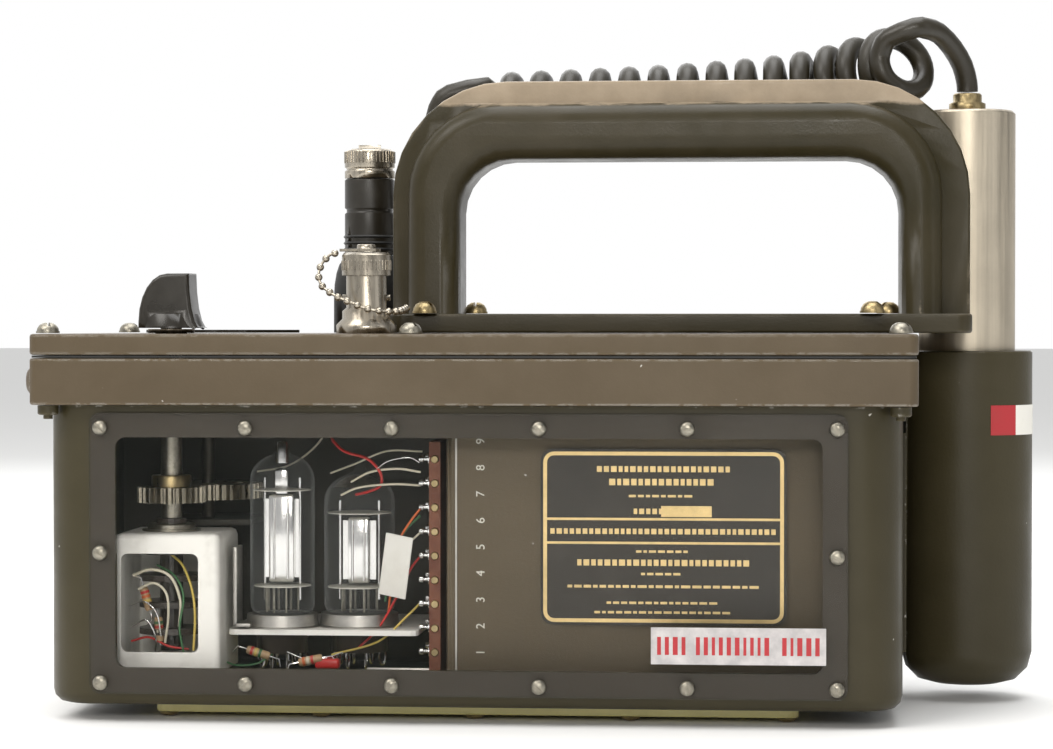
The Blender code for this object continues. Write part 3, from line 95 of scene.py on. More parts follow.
class Finish:
    """A node material and short ways to add nodes to it."""

    def __init__(self, name, colour, roughness, metallic=0.0, **sockets):
        self.material = bpy.data.materials.new(name)
        self.material.use_nodes = True
        self.tree = self.material.node_tree
        self.shader = self.tree.nodes["Principled BSDF"]
        self.set("Base Color", (*colour, 1))
        self.set("Roughness", roughness)
        self.set("Metallic", metallic)
        for socket, value in sockets.items():
            self.set(socket.replace("_", " "), value)

    def set(self, socket, value):
        self.shader.inputs[socket].default_value = value

    def link(self, output, socket):
        self.tree.links.new(output, self.shader.inputs[socket])

    def node(self, kind, links=(), **settings):
        node = self.tree.nodes.new(kind)
        for key, value in settings.items():
            setattr(node, key, value)
        for socket, source in dict(links).items():
            target = node.inputs[socket]
            if hasattr(source, "is_output"):
                self.tree.links.new(source, target)
            else:
                target.default_value = source
        return node

    def place(self, scale=(1, 1, 1)):
        """Object coordinates, stretched along an axis where scale is small."""
        coordinates = self.node("ShaderNodeTexCoord").outputs["Object"]
        mapping = self.node("ShaderNodeMapping", {"Vector": coordinates, "Scale": scale})
        return mapping.outputs["Vector"]

    def noise(self, scale, detail=3.0, stretch=(1, 1, 1)):
        node = self.node("ShaderNodeTexNoise", {"Vector": self.place(stretch), "Scale": scale,
                                                "Detail": detail, "Roughness": 0.6})
        return node.outputs["Fac"]

    def ramp(self, source, low, high, start=0.0, end=1.0):
        node = self.node("ShaderNodeMapRange", {"Value": source, "From Min": low,
                                                "From Max": high, "To Min": start,
                                                "To Max": end})
        return node.outputs["Result"]

    def mix(self, factor, first, second):
        node = self.node("ShaderNodeMix", data_type="RGBA")
        pairs = ((node.inputs[0], factor), (node.inputs[6], first), (node.inputs[7], second))
        for socket, value in pairs:
            if hasattr(value, "is_output"):
                self.tree.links.new(value, socket)
            elif isinstance(value, tuple):
                socket.default_value = (*value, 1)
            else:
                socket.default_value = value
        return node.outputs[2]

    def math(self, operation, first, second):
        node = self.node("ShaderNodeMath", {0: first, 1: second}, operation=operation)
        return node.outputs[0]

    def bump(self, height, strength, distance):
        node = self.node("ShaderNodeBump", {"Height": height, "Strength": strength,
                                            "Distance": distance})
        self.link(node.outputs["Normal"], "Normal")

    def edges(self, radius, low=0.90, high=0.985):
        """One along sharp outer edges, nought on flat stretches."""
        bevel = self.node("ShaderNodeBevel", {"Radius": radius}, samples=4)
        normal = self.node("ShaderNodeNewGeometry").outputs["Normal"]
        dot = self.node("ShaderNodeVectorMath", {0: bevel.outputs["Normal"], 1: normal},
                        operation="DOT_PRODUCT")
        return self.ramp(dot.outputs["Value"], high, low)


def enamel(name, colour, worn, roughness, wear=0.55, chip=(0.42, 0.40, 0.36)):
    """Brushed-on instrument enamel, rubbed lighter at its edges and chipped to bare metal."""
    f = Finish(name, colour, roughness, Specular_IOR_Level=0.25)
    patches = f.ramp(f.noise(28, 5), 0.35, 0.75)
    base = f.mix(patches, colour, worn)
    grime = f.ramp(f.noise(9, 4), 0.45, 0.8, 0.0, 0.55)
    base = f.mix(grime, base, tuple(c * 0.55 for c in colour))
    edge = f.edges(0.0011)
    flakes = f.ramp(f.noise(260, 6), wear, wear + 0.06)
    chips = f.math("MULTIPLY", edge, flakes)
    specks = f.ramp(f.noise(300, 2), 0.765, 0.78)
    chips = f.math("MAXIMUM", chips, specks)
    rubbed = f.mix(f.math("MULTIPLY", edge, 0.45), base, tuple(min(1, c * 2.1) for c in worn))
    f.link(f.mix(chips, rubbed, chip), "Base Color")
    f.link(f.ramp(f.noise(60, 4), 0.3, 0.7, roughness - 0.07, roughness + 0.1), "Roughness")
    f.link(chips, "Metallic")
    peel = f.math("SUBTRACT", f.noise(1100, 2), f.math("MULTIPLY", chips, 1.5))
    f.bump(peel, 0.35, 0.00012)
    return f.material


def handle_enamel():
    """The handle's olive enamel, with a painted highlight in pale tan along its flat top web,
    where light from above falls.
    """
    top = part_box("handle")[1].z
    f = Finish("handle_olive", (0.026, 0.021, 0.008), 0.33, Specular_IOR_Level=0.25)
    patches = f.ramp(f.noise(28, 5), 0.35, 0.75)
    paint = f.mix(patches, (0.026, 0.021, 0.008), (0.045, 0.036, 0.019))
    height = f.node("ShaderNodeSeparateXYZ", {0: f.place()}).outputs["Z"]
    ragged = f.math("ADD", height, f.ramp(f.noise(120, 5), 0.3, 0.7, -0.0007, 0.0007))
    # painted highlight: the band of the web above the round bar is coloured pale tan, as it
    # looks where light from above catches it
    lit_web_mask = f.ramp(ragged, top - HANDLE_WEB - 0.0005, top - HANDLE_WEB + 0.0005, 0.0, 0.9)
    stains = f.ramp(f.noise(75, 6), 0.35, 0.7)
    tan = f.mix(stains, (0.36, 0.285, 0.20), (0.25, 0.195, 0.13))
    paint = f.mix(lit_web_mask, paint, tan)
    edge = f.math("MULTIPLY", f.edges(0.0010), f.ramp(f.noise(70, 5), 0.52, 0.62, 0.0, 0.8))
    f.link(f.mix(edge, paint, (0.30, 0.25, 0.18)), "Base Color")
    f.link(f.ramp(f.noise(60, 4), 0.3, 0.7, 0.27, 0.45), "Roughness")
    f.bump(f.noise(1100, 2), 0.3, 0.00012)
    return f.material


def metal(name, colour, roughness, stretch=(1, 1, 1), dull=0.75, grain=900, tarnish=0.5):
    """Plated or brushed metal; a stretch below one draws the grain out along that axis."""
    f = Finish(name, colour, roughness, 1.0)
    grain_lines = f.noise(grain, 4, stretch)
    stains = f.ramp(f.noise(70, 5), 0.42, 0.75, 0.0, tarnish)
    tone = f.mix(f.ramp(grain_lines, 0.3, 0.7), tuple(c * dull for c in colour), colour)
    f.link(f.mix(stains, tone, tuple(c * 0.5 for c in colour)), "Base Color")
    f.link(f.ramp(grain_lines, 0.25, 0.75, roughness - 0.08, roughness + 0.14), "Roughness")
    f.bump(grain_lines, 0.12, 0.00006)
    return f.material


def moulded(name, colour, roughness, dust=(0.12, 0.11, 0.09), amount=0.35, grain=700,
            shine=0.5):
    """Moulded plastic, rubber or laminate with a fine grain and dust in patches."""
    f = Finish(name, colour, roughness, Specular_IOR_Level=shine)
    dusting = f.ramp(f.noise(90, 6), 0.5, 0.8, 0.0, amount)
    f.link(f.mix(dusting, colour, dust), "Base Color")
    f.link(f.ramp(f.noise(45, 3), 0.3, 0.7, roughness - 0.06, roughness + 0.12), "Roughness")
    f.bump(f.noise(grain, 3), 0.2, 0.00008)
    return f.material


def see_through(name, colour, alpha, roughness=0.04, smudge=0.05):
    """Clear sheet or glass: faint over its faces, stronger where it is seen edge on."""
    f = Finish(name, colour, roughness, 0.0, IOR=1.49)
    facing = f.node("ShaderNodeLayerWeight", {"Blend": 0.35}).outputs["Facing"]
    veil = f.ramp(facing, 0.35, 1.0, alpha, min(1.0, alpha + 0.75))
    smears = f.ramp(f.noise(55, 6), 0.5, 0.8, 0.0, smudge)
    f.link(f.math("ADD", veil, smears), "Alpha")
    f.link(f.ramp(f.noise(35, 4), 0.4, 0.7, roughness, roughness + 0.12), "Roughness")
    return f.material


def phenolic_board():
    f = Finish("phenolic_board", (0.17, 0.06, 0.03), 0.5, Specular_IOR_Level=0.3)
    fibres = f.noise(240, 5, (1, 0.25, 1))
    f.link(f.mix(f.ramp(fibres, 0.35, 0.7), (0.13, 0.042, 0.022), (0.22, 0.085, 0.045)),
           "Base Color")
    f.bump(fibres, 0.25, 0.0001)
    return f.material


def foil():
    f = Finish("silver_foil", (0.72, 0.71, 0.70), 0.33, 0.85)
    creases = f.noise(160, 5)
    f.link(f.mix(f.ramp(creases, 0.4, 0.7), (0.44, 0.42, 0.42), (0.62, 0.59, 0.58)),
           "Base Color")
    f.bump(creases, 0.4, 0.0002)
    return f.material


CASE_OLIVE = enamel("case_olive", (0.040, 0.033, 0.0145), (0.052, 0.043, 0.022), 0.38, 0.58)
LID_OLIVE = enamel("lid_olive", (0.082, 0.060, 0.034), (0.105, 0.080, 0.050), 0.45, 0.44)
HANDLE_OLIVE = handle_enamel()
WALL_OLIVE = enamel("wall_olive", (0.095, 0.073, 0.043), (0.115, 0.090, 0.057), 0.5, 0.72)
RUBBER = moulded("black_rubber", (0.010, 0.010, 0.009), 0.55, amount=0.15)
BORDER_BLACK = moulded("border_black", (0.024, 0.016, 0.006), 0.5, amount=0.05, grain=200)
BAKELITE = moulded("black_phenolic", (0.016, 0.013, 0.008), 0.3, amount=0.15, grain=500)
CORD_RUBBER = moulded("cord_rubber", (0.018, 0.014, 0.006), 0.4, (0.05, 0.042, 0.028), 0.3)
CLEAR = see_through("clear_acrylic", (0.10, 0.11, 0.10), 0.03, 0.03, 0.015)
AMBER = see_through("aged_acrylic", (0.78, 0.70, 0.28), 0.92, 0.2, 0.2)
GLASS = see_through("valve_glass", (0.45, 0.47, 0.46), 0.06, 0.02, 0.01)
ALUMINIUM = metal("brushed_aluminium", (0.60, 0.53, 0.42), 0.38, (1, 1, 0.03), 0.8, 500, 0.25)
SHEET_METAL = metal("sheet_aluminium", (0.55, 0.53, 0.49), 0.42, (0.05, 1, 1), 0.75, 500)
NICKEL = metal("nickel_plate", (0.50, 0.45, 0.37), 0.26, (1, 1, 0.2), 0.7, 600, 0.7)
DARK_STEEL = metal("dark_steel", (0.10, 0.09, 0.075), 0.5, (1, 1, 1), 0.6, 500, 0.6)
WORKS_BLACK = moulded("works_black", (0.030, 0.026, 0.017), 0.55, amount=0.2)
ZINC = metal("zinc_plate", (0.42, 0.39, 0.32), 0.36, (1, 1, 1), 0.55, 800, 0.8)
BRASS = metal("dull_brass", (0.46, 0.36, 0.19), 0.34, (1, 1, 0.3), 0.6, 700, 0.75)
GEAR_METAL = metal("gear_metal", (0.40, 0.36, 0.28), 0.3, (1, 1, 0.3), 0.5, 900, 0.8)
BRIGHT = metal("bright_plate", (0.86, 0.85, 0.83), 0.16, (1, 1, 0.1), 0.9, 500, 0.15)
CREAM = moulded("cream_enamel", (0.87, 0.85, 0.79), 0.38, (0.30, 0.26, 0.20), 0.45)
CERAMIC = moulded("socket_phenolic", (0.035, 0.027, 0.020), 0.35, (0.10, 0.08, 0.06), 0.3)
BOARD = phenolic_board()
GOLD = metal("gold_print", (0.72, 0.54, 0.26), 0.38, (1, 1, 1), 0.8, 400, 0.3)
PLATE_BLACK = moulded("plate_black", (0.020, 0.015, 0.008), 0.36, (0.06, 0.05, 0.04), 0.4)
FOIL = foil()
RED_INK = moulded("red_print", (0.42, 0.018, 0.025), 0.45, (0.25, 0.05, 0.04), 0.3)
WHITE_INK = moulded("white_print", (0.62, 0.60, 0.52), 0.5, (0.3, 0.27, 0.2), 0.4)
TAG_WHITE = moulded("tag_white", (0.78, 0.76, 0.70), 0.55, (0.5, 0.46, 0.38), 0.4)
WIRE_COLOURS = {
    "red": moulded("red_wire", (0.50, 0.022, 0.018), 0.4),
    "cream": moulded("cream_wire", (0.62, 0.57, 0.44), 0.5),
    "green": moulded("green_wire", (0.04, 0.14, 0.05), 0.45),
    "orange": moulded("orange_wire", (0.58, 0.13, 0.03), 0.45),
    "yellow": moulded("yellow_wire", (0.60, 0.45, 0.10), 0.45),
    "bare": BRIGHT,
}

NODE_FINISHES = {
    "case_body": CASE_OLIVE, "case_collar": LID_OLIVE, "top_panel": LID_OLIVE,
    "probe_well": CASE_OLIVE, "strap_stud": LID_OLIVE, "handle": HANDLE_OLIVE,
    "panel_gasket": RUBBER, "window_gasket": BORDER_BLACK, "side_window": CLEAR,
    "bottom_window": AMBER, "range_knob": BAKELITE, "switch_shaft": ZINC,
    "panel_bushing": NICKEL, "drive_gear": GEAR_METAL, "scale_gear": GEAR_METAL,
    "scale_arbor": DARK_STEEL,
    "scale_dial": TAG_WHITE, "meter_movement": BAKELITE, "meter_pointer": BAKELITE,
    "meter_glass": CLEAR, "meter_bezel": BAKELITE, "phone_jack": NICKEL, "jack_cap": NICKEL,
    "chain_clip": NICKEL, "post_boot": RUBBER, "post_body": BAKELITE, "post_cap": NICKEL,
    "probe_tube": ALUMINIUM, "probe_end_cap": BAKELITE, "probe_gland": BRASS,
    "panel_gland": BRASS, "switch_shield": CREAM, "switch_wafers": CERAMIC,
    "valve_deck": CREAM, "backplane": WORKS_BLACK, "valve_socket_1": CERAMIC,
    "valve_socket_2": CERAMIC, "terminal_board": BOARD, "battery_box": WALL_OLIVE,
    "nameplate": PLATE_BLACK,
}
for node_name, node_finish in NODE_FINISHES.items():
    frame["nodes"][node_name].data.materials.clear()
    frame["nodes"][node_name].data.materials.append(node_finish)

# ------------------------------------------------------------------ ways of working


def deselect():
    bpy.ops.object.select_all(action="DESELECT")


def pick(piece):
    deselect()
    piece.select_set(True)
    bpy.context.view_layer.objects.active = piece


def settle(piece, name, body, material, angle=35):
    """Apply a piece's place, name it, finish it and let it ride on its body, if it has one."""
    pick(piece)
    bpy.ops.object.transform_apply(location=True, rotation=True, scale=True)
    if piece.type == "MESH":
        bpy.ops.object.shade_smooth_by_angle(angle=radians(angle))
    piece.name = name
    piece.data.materials.clear()
    piece.data.materials.append(material)
    if body:
        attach(piece, body)
    return piece


def copy_of(piece, at, turn):
    twin = piece.copy()
    twin.data = piece.data.copy()
    bpy.context.scene.collection.objects.link(twin)
    twin.location = at
    twin.rotation_euler = turn
    return twin


def block(at, size, round_by=0.0, segments=2):
    """A box about a place, its edges rounded."""
    deselect()
    bpy.ops.mesh.primitive_cube_add(size=1, location=at)
    piece = bpy.context.object
    piece.scale = size
    bpy.ops.object.transform_apply(location=False, rotation=False, scale=True)
    if round_by:
        bpy.ops.object.mode_set(mode="EDIT")
        bpy.ops.mesh.select_all(action="SELECT")
        bpy.ops.mesh.bevel(offset=round_by, segments=segments, affect="EDGES")
        bpy.ops.object.mode_set(mode="OBJECT")
    return piece


def weld(gap):
    """Merge the points of the active piece that meet and turn its faces outward."""
    bpy.ops.object.mode_set(mode="EDIT")
    bpy.ops.mesh.select_all(action="SELECT")
    bpy.ops.mesh.remove_doubles(threshold=gap)
    bpy.ops.mesh.normals_make_consistent(inside=False)
    bpy.ops.object.mode_set(mode="OBJECT")


def outline(points):
    """A line of (radius, height) corners in the XZ plane, drawn out from its first corner."""
    deselect()
    radius, height = points[0]
    bpy.ops.mesh.primitive_plane_add(size=0.001, location=(radius, 0, height))
    bpy.ops.object.transform_apply(location=True, rotation=False, scale=False)
    bpy.ops.object.mode_set(mode="EDIT")
    bpy.ops.mesh.select_all(action="SELECT")
    bpy.ops.mesh.merge(type="CENTER")
    for (r0, h0), (r1, h1) in zip(points, points[1:]):
        bpy.ops.mesh.extrude_region_move(
            TRANSFORM_OT_translate={"value": (r1 - r0, 0, h1 - h0)})
    return bpy.context.object


def lathe(profile, steps=32, at=(0, 0, 0), turn=(0, 0, 0), sweep=2 * pi):
    """Spin a profile of (radius, height) about Z, then set it down at a place."""
    piece = outline(profile)
    bpy.ops.mesh.select_all(action="SELECT")
    bpy.ops.mesh.spin(steps=steps, angle=sweep, center=(0, 0, 0), axis=(0, 0, 1))
    weld(0.000005)
    piece.location = at
    piece.rotation_euler = turn
    return piece


def join(pieces):
    deselect()
    for piece in pieces:
        piece.select_set(True)
    bpy.context.view_layer.objects.active = pieces[0]
    bpy.ops.object.join()
    return bpy.context.object


def smooth_route(route, between=4):
    """Points on a Catmull-Rom curve through a route."""
    knots = [Vector(p) for p in route]
    knots = [2 * knots[0] - knots[1]] + knots + [2 * knots[-1] - knots[-2]]
    path = []
    for i in range(1, len(knots) - 2):
        a, b, c, d = knots[i - 1:i + 3]
        for k in range(between):
            t = k / between
            path.append(0.5 * (2 * b + (c - a) * t + (2 * a - 5 * b + 4 * c - d) * t * t
                               + (3 * b - a - 3 * c + d) * t * t * t))
    path.append(knots[-2])
    return path


def round_wire(path, radius, sides=3):
    """A round wire along a path, as one closed mesh."""
    deselect()
    data = bpy.data.curves.new("wire", "CURVE")
    data.dimensions = "3D"
    data.bevel_depth = radius
    data.bevel_resolution = sides
    data.use_fill_caps = True
    spline = data.splines.new("POLY")
    spline.points.add(len(path) - 1)
    for point, place in zip(spline.points, path):
        point.co = (*place, 1)
    piece = bpy.data.objects.new("wire", data)
    bpy.context.scene.collection.objects.link(piece)
    pick(piece)
    bpy.ops.object.convert(target="MESH")
    weld(0.000002)
    return bpy.context.object


def refine(node, angle):
    """A welded copy of a CAD node, smooth up to an angle, which it stands for."""
    source = frame["nodes"][node]
    piece = bpy.data.objects.new(node + "_skin", source.data.copy())
    bpy.context.scene.collection.objects.link(piece)
    pick(piece)
    bpy.ops.object.mode_set(mode="EDIT")
    bpy.ops.mesh.select_all(action="SELECT")
    bpy.ops.mesh.remove_doubles(threshold=0.000002)
    bpy.ops.object.mode_set(mode="OBJECT")
    settle(piece, node + "_skin", source["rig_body"], NODE_FINISHES[node], angle)
    pick(piece)
    flats = piece.modifiers.new("flat_faces", "WEIGHTED_NORMAL")
    flats.keep_sharp = True
    flats.weight = 100
    bpy.ops.object.modifier_apply(modifier="flat_faces")
    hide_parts(node)
    return piece


# ------------------------------------------------------------------ camera, light, floor
CAMERA_REACH = 0.900        # camera to the plane of the case's front
CAMERA_TURN = 5.0
CAMERA_DIP = 0.9
SENSOR = 36.0


def make_camera():
    target = on_lid(16.8, -57, 102.6)
    turn, dip = radians(CAMERA_TURN), radians(CAMERA_DIP)
    look = Vector((-sin(turn) * cos(dip), cos(turn) * cos(dip), -sin(dip)))
    data = bpy.data.cameras.new("camera")
    data.sensor_width = SENSOR
    data.lens = SENSOR * 2.94
    camera = bpy.data.objects.new("camera", data)
    camera.location = target - look * CAMERA_REACH
    camera.rotation_euler = (pi / 2 - dip, 0, turn)
    bpy.context.scene.collection.objects.link(camera)
    bpy.context.scene.camera = camera


def area_light(name, at, aim, size, power, tint=(1, 1, 1)):
    data = bpy.data.lights.new(name, "AREA")
    data.shape = "RECTANGLE"
    data.size, data.size_y = size
    data.energy = power
    data.color = tint
    light = bpy.data.objects.new(name, data)
    light.location = at
    light.rotation_euler = (Vector(aim) - Vector(at)).to_track_quat("-Z", "Y").to_euler()
    bpy.context.scene.collection.objects.link(light)


def make_studio():
    middle = (0, 0, 0.10)
    area_light("front_light", (0.1, -1.5, 0.55), middle, (0.5, 0.3), 7, (1, 0.97, 0.92))
    area_light("key_light", (-0.8, -0.8, 1.3), middle, (0.9, 0.7), 12, (1, 0.97, 0.93))
    area_light("top_light", (0.1, 0.0, 1.4), middle, (1.4, 0.9), 14)
    area_light("side_light", (1.2, -0.5, 0.6), middle, (0.5, 0.9), 1.5)
    area_light("back_light", (-0.3, 1.3, 0.9), middle, (1.4, 0.8), 6)
    world = bpy.data.worlds.new("studio")
    world.use_nodes = True
    tree = world.node_tree
    ways = tree.nodes.new("ShaderNodeSeparateXYZ")
    tree.links.new(tree.nodes.new("ShaderNodeTexCoord").outputs["Generated"], ways.inputs[0])
    shares = []
    for axis, low, high, start, end in (("X", 0.25, 0.8, 1.0, 0.35), ("Y", -0.6, 0.1, 0.5, 1.0)):
        share = tree.nodes.new("ShaderNodeMapRange")
        share.inputs["From Min"].default_value = low
        share.inputs["From Max"].default_value = high
        share.inputs["To Min"].default_value = start
        share.inputs["To Max"].default_value = end
        tree.links.new(ways.outputs[axis], share.inputs["Value"])
        shares.append(share.outputs["Result"])
    strength = tree.nodes.new("ShaderNodeMath")
    strength.operation = "MULTIPLY"
    for share, socket in zip(shares, strength.inputs):
        tree.links.new(share, socket)
    backing = tree.nodes["Background"]
    backing.inputs["Color"].default_value = (1, 1, 1, 1)
    tree.links.new(strength.outputs[0], backing.inputs["Strength"])
    bpy.context.scene.world = world
    bpy.context.scene.view_settings.view_transform = "Standard"
    deselect()
    bpy.ops.mesh.primitive_plane_add(size=30, location=(0, 0, 0))
    floor = bpy.context.object
    floor.name = "floor"
    paper = Finish("pale_paper", (0.86, 0.86, 0.85), 0.85)
    paper.bump(paper.noise(300, 3), 0.05, 0.0001)
    floor.data.materials.append(paper.material)


# ------------------------------------------------------------------ the probe's cord
LEAD_ROUTE = [
    (148.3, 28.0, 190.2), (148.1, 27.8, 193.2), (146.6, 26.0, 198.4),
    (143.2, 22.0, 203.6), (138.8, 16.6, 207.6), (134.6, 12.2, 208.7),
    (131.2, 10.3, 208.7),
]
COIL_AXIS = [
    (129.6, 11.0, 199.1), (129.0, 16.2, 198.9), (124.6, 23.0, 197.9),
    (116.4, 28.2, 195.9), (106.6, 31.2, 193.3), (95.0, 31.8, 191.0),
    (78.0, 30.0, 189.0), (60.0, 27.5, 187.5), (40.0, 24.5, 186.2),
    (20.0, 21.8, 185.2), (0.0, 20.2, 184.3), (-6.0, 20.0, 184.0),
]
TAIL_ROUTE = [
    (-14.2, 21.6, 190.0), (-17.3, 21.8, 187.2), (-19.0, 22.8, 183.0),
    (-20.0, 25.0, 176.0), (-20.6, 27.2, 168.0), (-21.3, 29.2, 159.0),
    (-22.0, 30.8, 149.0), (-22.6, 31.8, 139.0), (-23.0, 32.0, 130.0),
    (-23.0, 32.0, 121.9),
]
COIL_START = 20.0           # degrees past the top where the lead runs into the first turn
TURN_STEPS = 16


def coil_path():
    """A helix wound along the coil's axis from its top, wider spaced over two turns."""
    axis = smooth_route([on_lid(*p) for p in COIL_AXIS], 12)
    mean = COIL_RADIUS - CORD_DIAMETER / 2
    path = []
    run, angle = 0.0, radians(COIL_START)
    for a, b in zip(axis, axis[1:]):
        ahead = (b - a).normalized()
        left = Vector((0, 0, 1)).cross(ahead).normalized()
        up = ahead.cross(left)
        length = (b - a).length
        while run < length:
            centre = a + ahead * run
            path.append(centre + up * mean * cos(angle) + left * mean * sin(angle))
            opened = max(0.0, 1 - len(path) / (2 * TURN_STEPS))
            run += COIL_PITCH * (1 + 0.7 * opened) / TURN_STEPS
            angle += 2 * pi / TURN_STEPS
        run -= length
    return path


def make_cord():
    """The lead, the turns up to where the last one rises to its top, and the tail."""
    turns = coil_path()
    last = len(turns) - 1
    while turns[last - 1].z > turns[last].z or turns[last].z < turns[0].z - 0.022:
        last -= 1
    knots = [on_lid(*p) for p in LEAD_ROUTE] + turns[1:last] + [on_lid(*p) for p in TAIL_ROUTE]
    path = smooth_route(knots, 2)
    cord = round_wire(path, CORD_DIAMETER / 2, 4)
    settle(cord, "curly_cord", None, CORD_RUBBER, 60)
    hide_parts("cord_lead", "cord_coil", "cord_tail")
    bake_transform(cord)


# ------------------------------------------------------------------ fasteners


def slotted_head(radius, height, foot=0.0):
    """A round slotted screw head standing up from a foot height."""
    dome = [(0, height), (radius * 0.45, height * 0.93), (radius * 0.78, height * 0.66),
            (radius * 0.97, height * 0.28), (radius, 0), (0, 0)]
    head = lathe([(r, h + foot) for r, h in dome], 24)
    slot = block((0, 0, height + foot), (radius * 2.4, radius * 0.26, height * 0.9))
    pick(head)
    cut = head.modifiers.new("slot", "BOOLEAN")
    cut.operation = "DIFFERENCE"
    cut.object = slot
    bpy.ops.object.modifier_apply(modifier="slot")
    bpy.data.objects.remove(slot, do_unlink=True)
    return head


def make_window_screws():
    """Fourteen flat heads let into the window's rim."""
    head = slotted_head(*WINDOW_HEAD)
    x0, x1 = PANE_LOW.x + 0.0031, PANE_HIGH.x - 0.0031
    columns = [x0 + (x1 - x0) * i / 5 for i in range(6)]
    places = [(x, PANE_HIGH.z - 0.0043) for x in columns]
    places += [(x, PANE_LOW.z + 0.0030) for x in columns]
    middle = (PANE_LOW.z + PANE_HIGH.z) / 2
    places += [(x0, middle), (x1, middle)]
    twist = random.Random(4)
    for number, (x, z) in enumerate(places, 1):
        screw = copy_of(head, (x, PANE_LOW.y + 0.0009, z), (pi / 2, twist.uniform(0, pi), 0))
        settle(screw, f"window_screw_{number}", "root", ZINC)
    bpy.data.objects.remove(head, do_unlink=True)


def make_round_heads(names, material, seed):
    """Slotted round heads that stand for plain CAD ones of the same size."""
    twist = random.Random(seed)
    for name in names:
        low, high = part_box(name)
        radius = (high.x - low.x) / 2
        washer = lathe([(0, 0.0006), (radius, 0.0006), (radius, 0), (0, 0)], 24)
        head = slotted_head(radius * 0.94, high.z - low.z - 0.0006, 0.0006)
        head = join([washer, head])
        at = ((low.x + high.x) / 2, (low.y + high.y) / 2, low.z)
        head.location = at
        head.rotation_euler = (0, 0, twist.uniform(0, pi))
        settle(head, name + "_head", "root", material)
        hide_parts(name)


def make_bottom_screws():
    names = [f"bottom_screw_{i}" for i in (1, 2, 3, 4)]
    lows = [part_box(name)[0] for name in names]
    highs = [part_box(name)[1] for name in names]
    x0 = (lows[0].x + highs[0].x) / 2
    x1 = (lows[1].x + highs[1].x) / 2
    radius = (highs[0].x - lows[0].x) / 2
    height = highs[0].z
    model = slotted_head(radius, height)
    twist = random.Random(9)
    number = 0
    for row in ((lows[0].y + highs[0].y) / 2, (lows[2].y + highs[2].y) / 2):
        for column in range(5):
            number += 1
            x = x0 + (x1 - x0) * column / 4
            head = copy_of(model, (x, row, height), (pi, 0, twist.uniform(0, pi)))
            settle(head, f"floor_screw_{number}", "root", BRASS)
            if column == 0:
                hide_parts(names[0] if row < 0 else names[2])
            if column == 4:
                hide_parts(names[1] if row < 0 else names[3])
    bpy.data.objects.remove(model, do_unlink=True)


def make_collar_nuts():
    """Nuts on the panel screws' ends, below the collar's corners."""
    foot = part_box("case_collar")[0].z
    number = 0
    for name in ("panel_screw_1", "panel_screw_3", "panel_screw_4"):
        low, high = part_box(name)
        at = ((low.x + high.x) / 2, (low.y + high.y) / 2, foot - 0.0042)
        nut = lathe([(0, 0.004), (0.0031, 0.004), (0.0031, 0.0016), (0.0027, 0.0012),
                     (0.0014, 0.0012), (0.0014, 0.0), (0, 0)], 6 * 3, at)
        number += 1
        settle(nut, f"collar_nut_{number}", "root", CASE_OLIVE)


# ------------------------------------------------------------------ chain, jack, post, knob
CHAIN_ROUTE = [
    (-41.6, -42.3, 138.3), (-43.2, -43.0, 137.6), (-45.2, -44.5, 135.0),
    (-45.9, -46.0, 131.8), (-45.0, -47.3, 129.0), (-43.0, -48.5, 127.2),
    (-39.4, -50.3, 125.1), (-35.5, -51.6, 123.6), (-31.0, -51.2, 121.8),
    (-26.2, -50.0, 121.0), (-22.6, -45.0, 121.0), (-21.5, -38.5, 121.5),
    (-21.4, -32.0, 122.1),
]


def even_points(path, gap):
    """Points a given gap apart along a path."""
    points = [path[0]]
    left = gap
    for a, b in zip(path, path[1:]):
        start, length = a, (b - a).length
        while length > left:
            start = start + (b - start).normalized() * left
            length -= left
            left = gap
            points.append(start)
        left -= length
    return points


def make_chain():
    path = smooth_route([on_lid(*p) for p in CHAIN_ROUTE], 10)
    beads = []
    for place in even_points(path, 0.0033):
        deselect()
        bpy.ops.mesh.primitive_uv_sphere_add(segments=12, ring_count=8, radius=0.00115,
                                             location=place)
        beads.append(bpy.context.object)
    beads.append(round_wire(path, 0.00042, 2))
    chain = join(beads)
    settle(chain, "bead_chain", "root", NICKEL, 60)
    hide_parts("cap_chain")


def make_cap_knurl():
    """Fine ribs round the post's cap and the jack's cap."""
    for node, body, foot, top, count in (("post_cap", "post_cap", 0.45, 0.80, 44),
                                         ("jack_cap", "jack_cap", 0.16, 0.48, 36)):
        low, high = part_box(node)
        radius = (high.x - low.x) / 2 - 0.0001
        centre = (low + high) / 2
        z0 = low.z + (high.z - low.z) * foot
        z1 = low.z + (high.z - low.z) * top
        ribs = []
        for i in range(count):
            a = 2 * pi * i / count
            at = (centre.x + radius * cos(a), centre.y + radius * sin(a), (z0 + z1) / 2)
            rib = block(at, (0.0005, 0.00055, z1 - z0), 0.00012, 1)
            rib.rotation_euler = (0, 0, a)
            ribs.append(rib)
        settle(join(ribs), node + "_knurl", body, NICKEL)


def make_post_bands():
    low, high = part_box("post_body")
    centre = (low + high) / 2
    radius = (high.x - low.x) / 2
    for number, z in enumerate((low.z + 0.0012, low.z + 0.0032, low.z + 0.0052), 1):
        band = lathe([(radius, 0.0010), (radius + 0.0004, 0.0005), (radius, 0.0)], 40,
                     (centre.x, centre.y, z))
        settle(band, f"post_band_{number}", "root", RUBBER, 60)


def make_knob_line():
    low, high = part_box("range_knob")
    y = (low.y + high.y) / 2
    line = block((low.x + 0.0110, y, high.z - 0.00005), (0.0055, 0.0011, 0.00018), 0.00004, 1)
    settle(line, "knob_line", "knob", WHITE_INK)


# ------------------------------------------------------------------ works behind the window


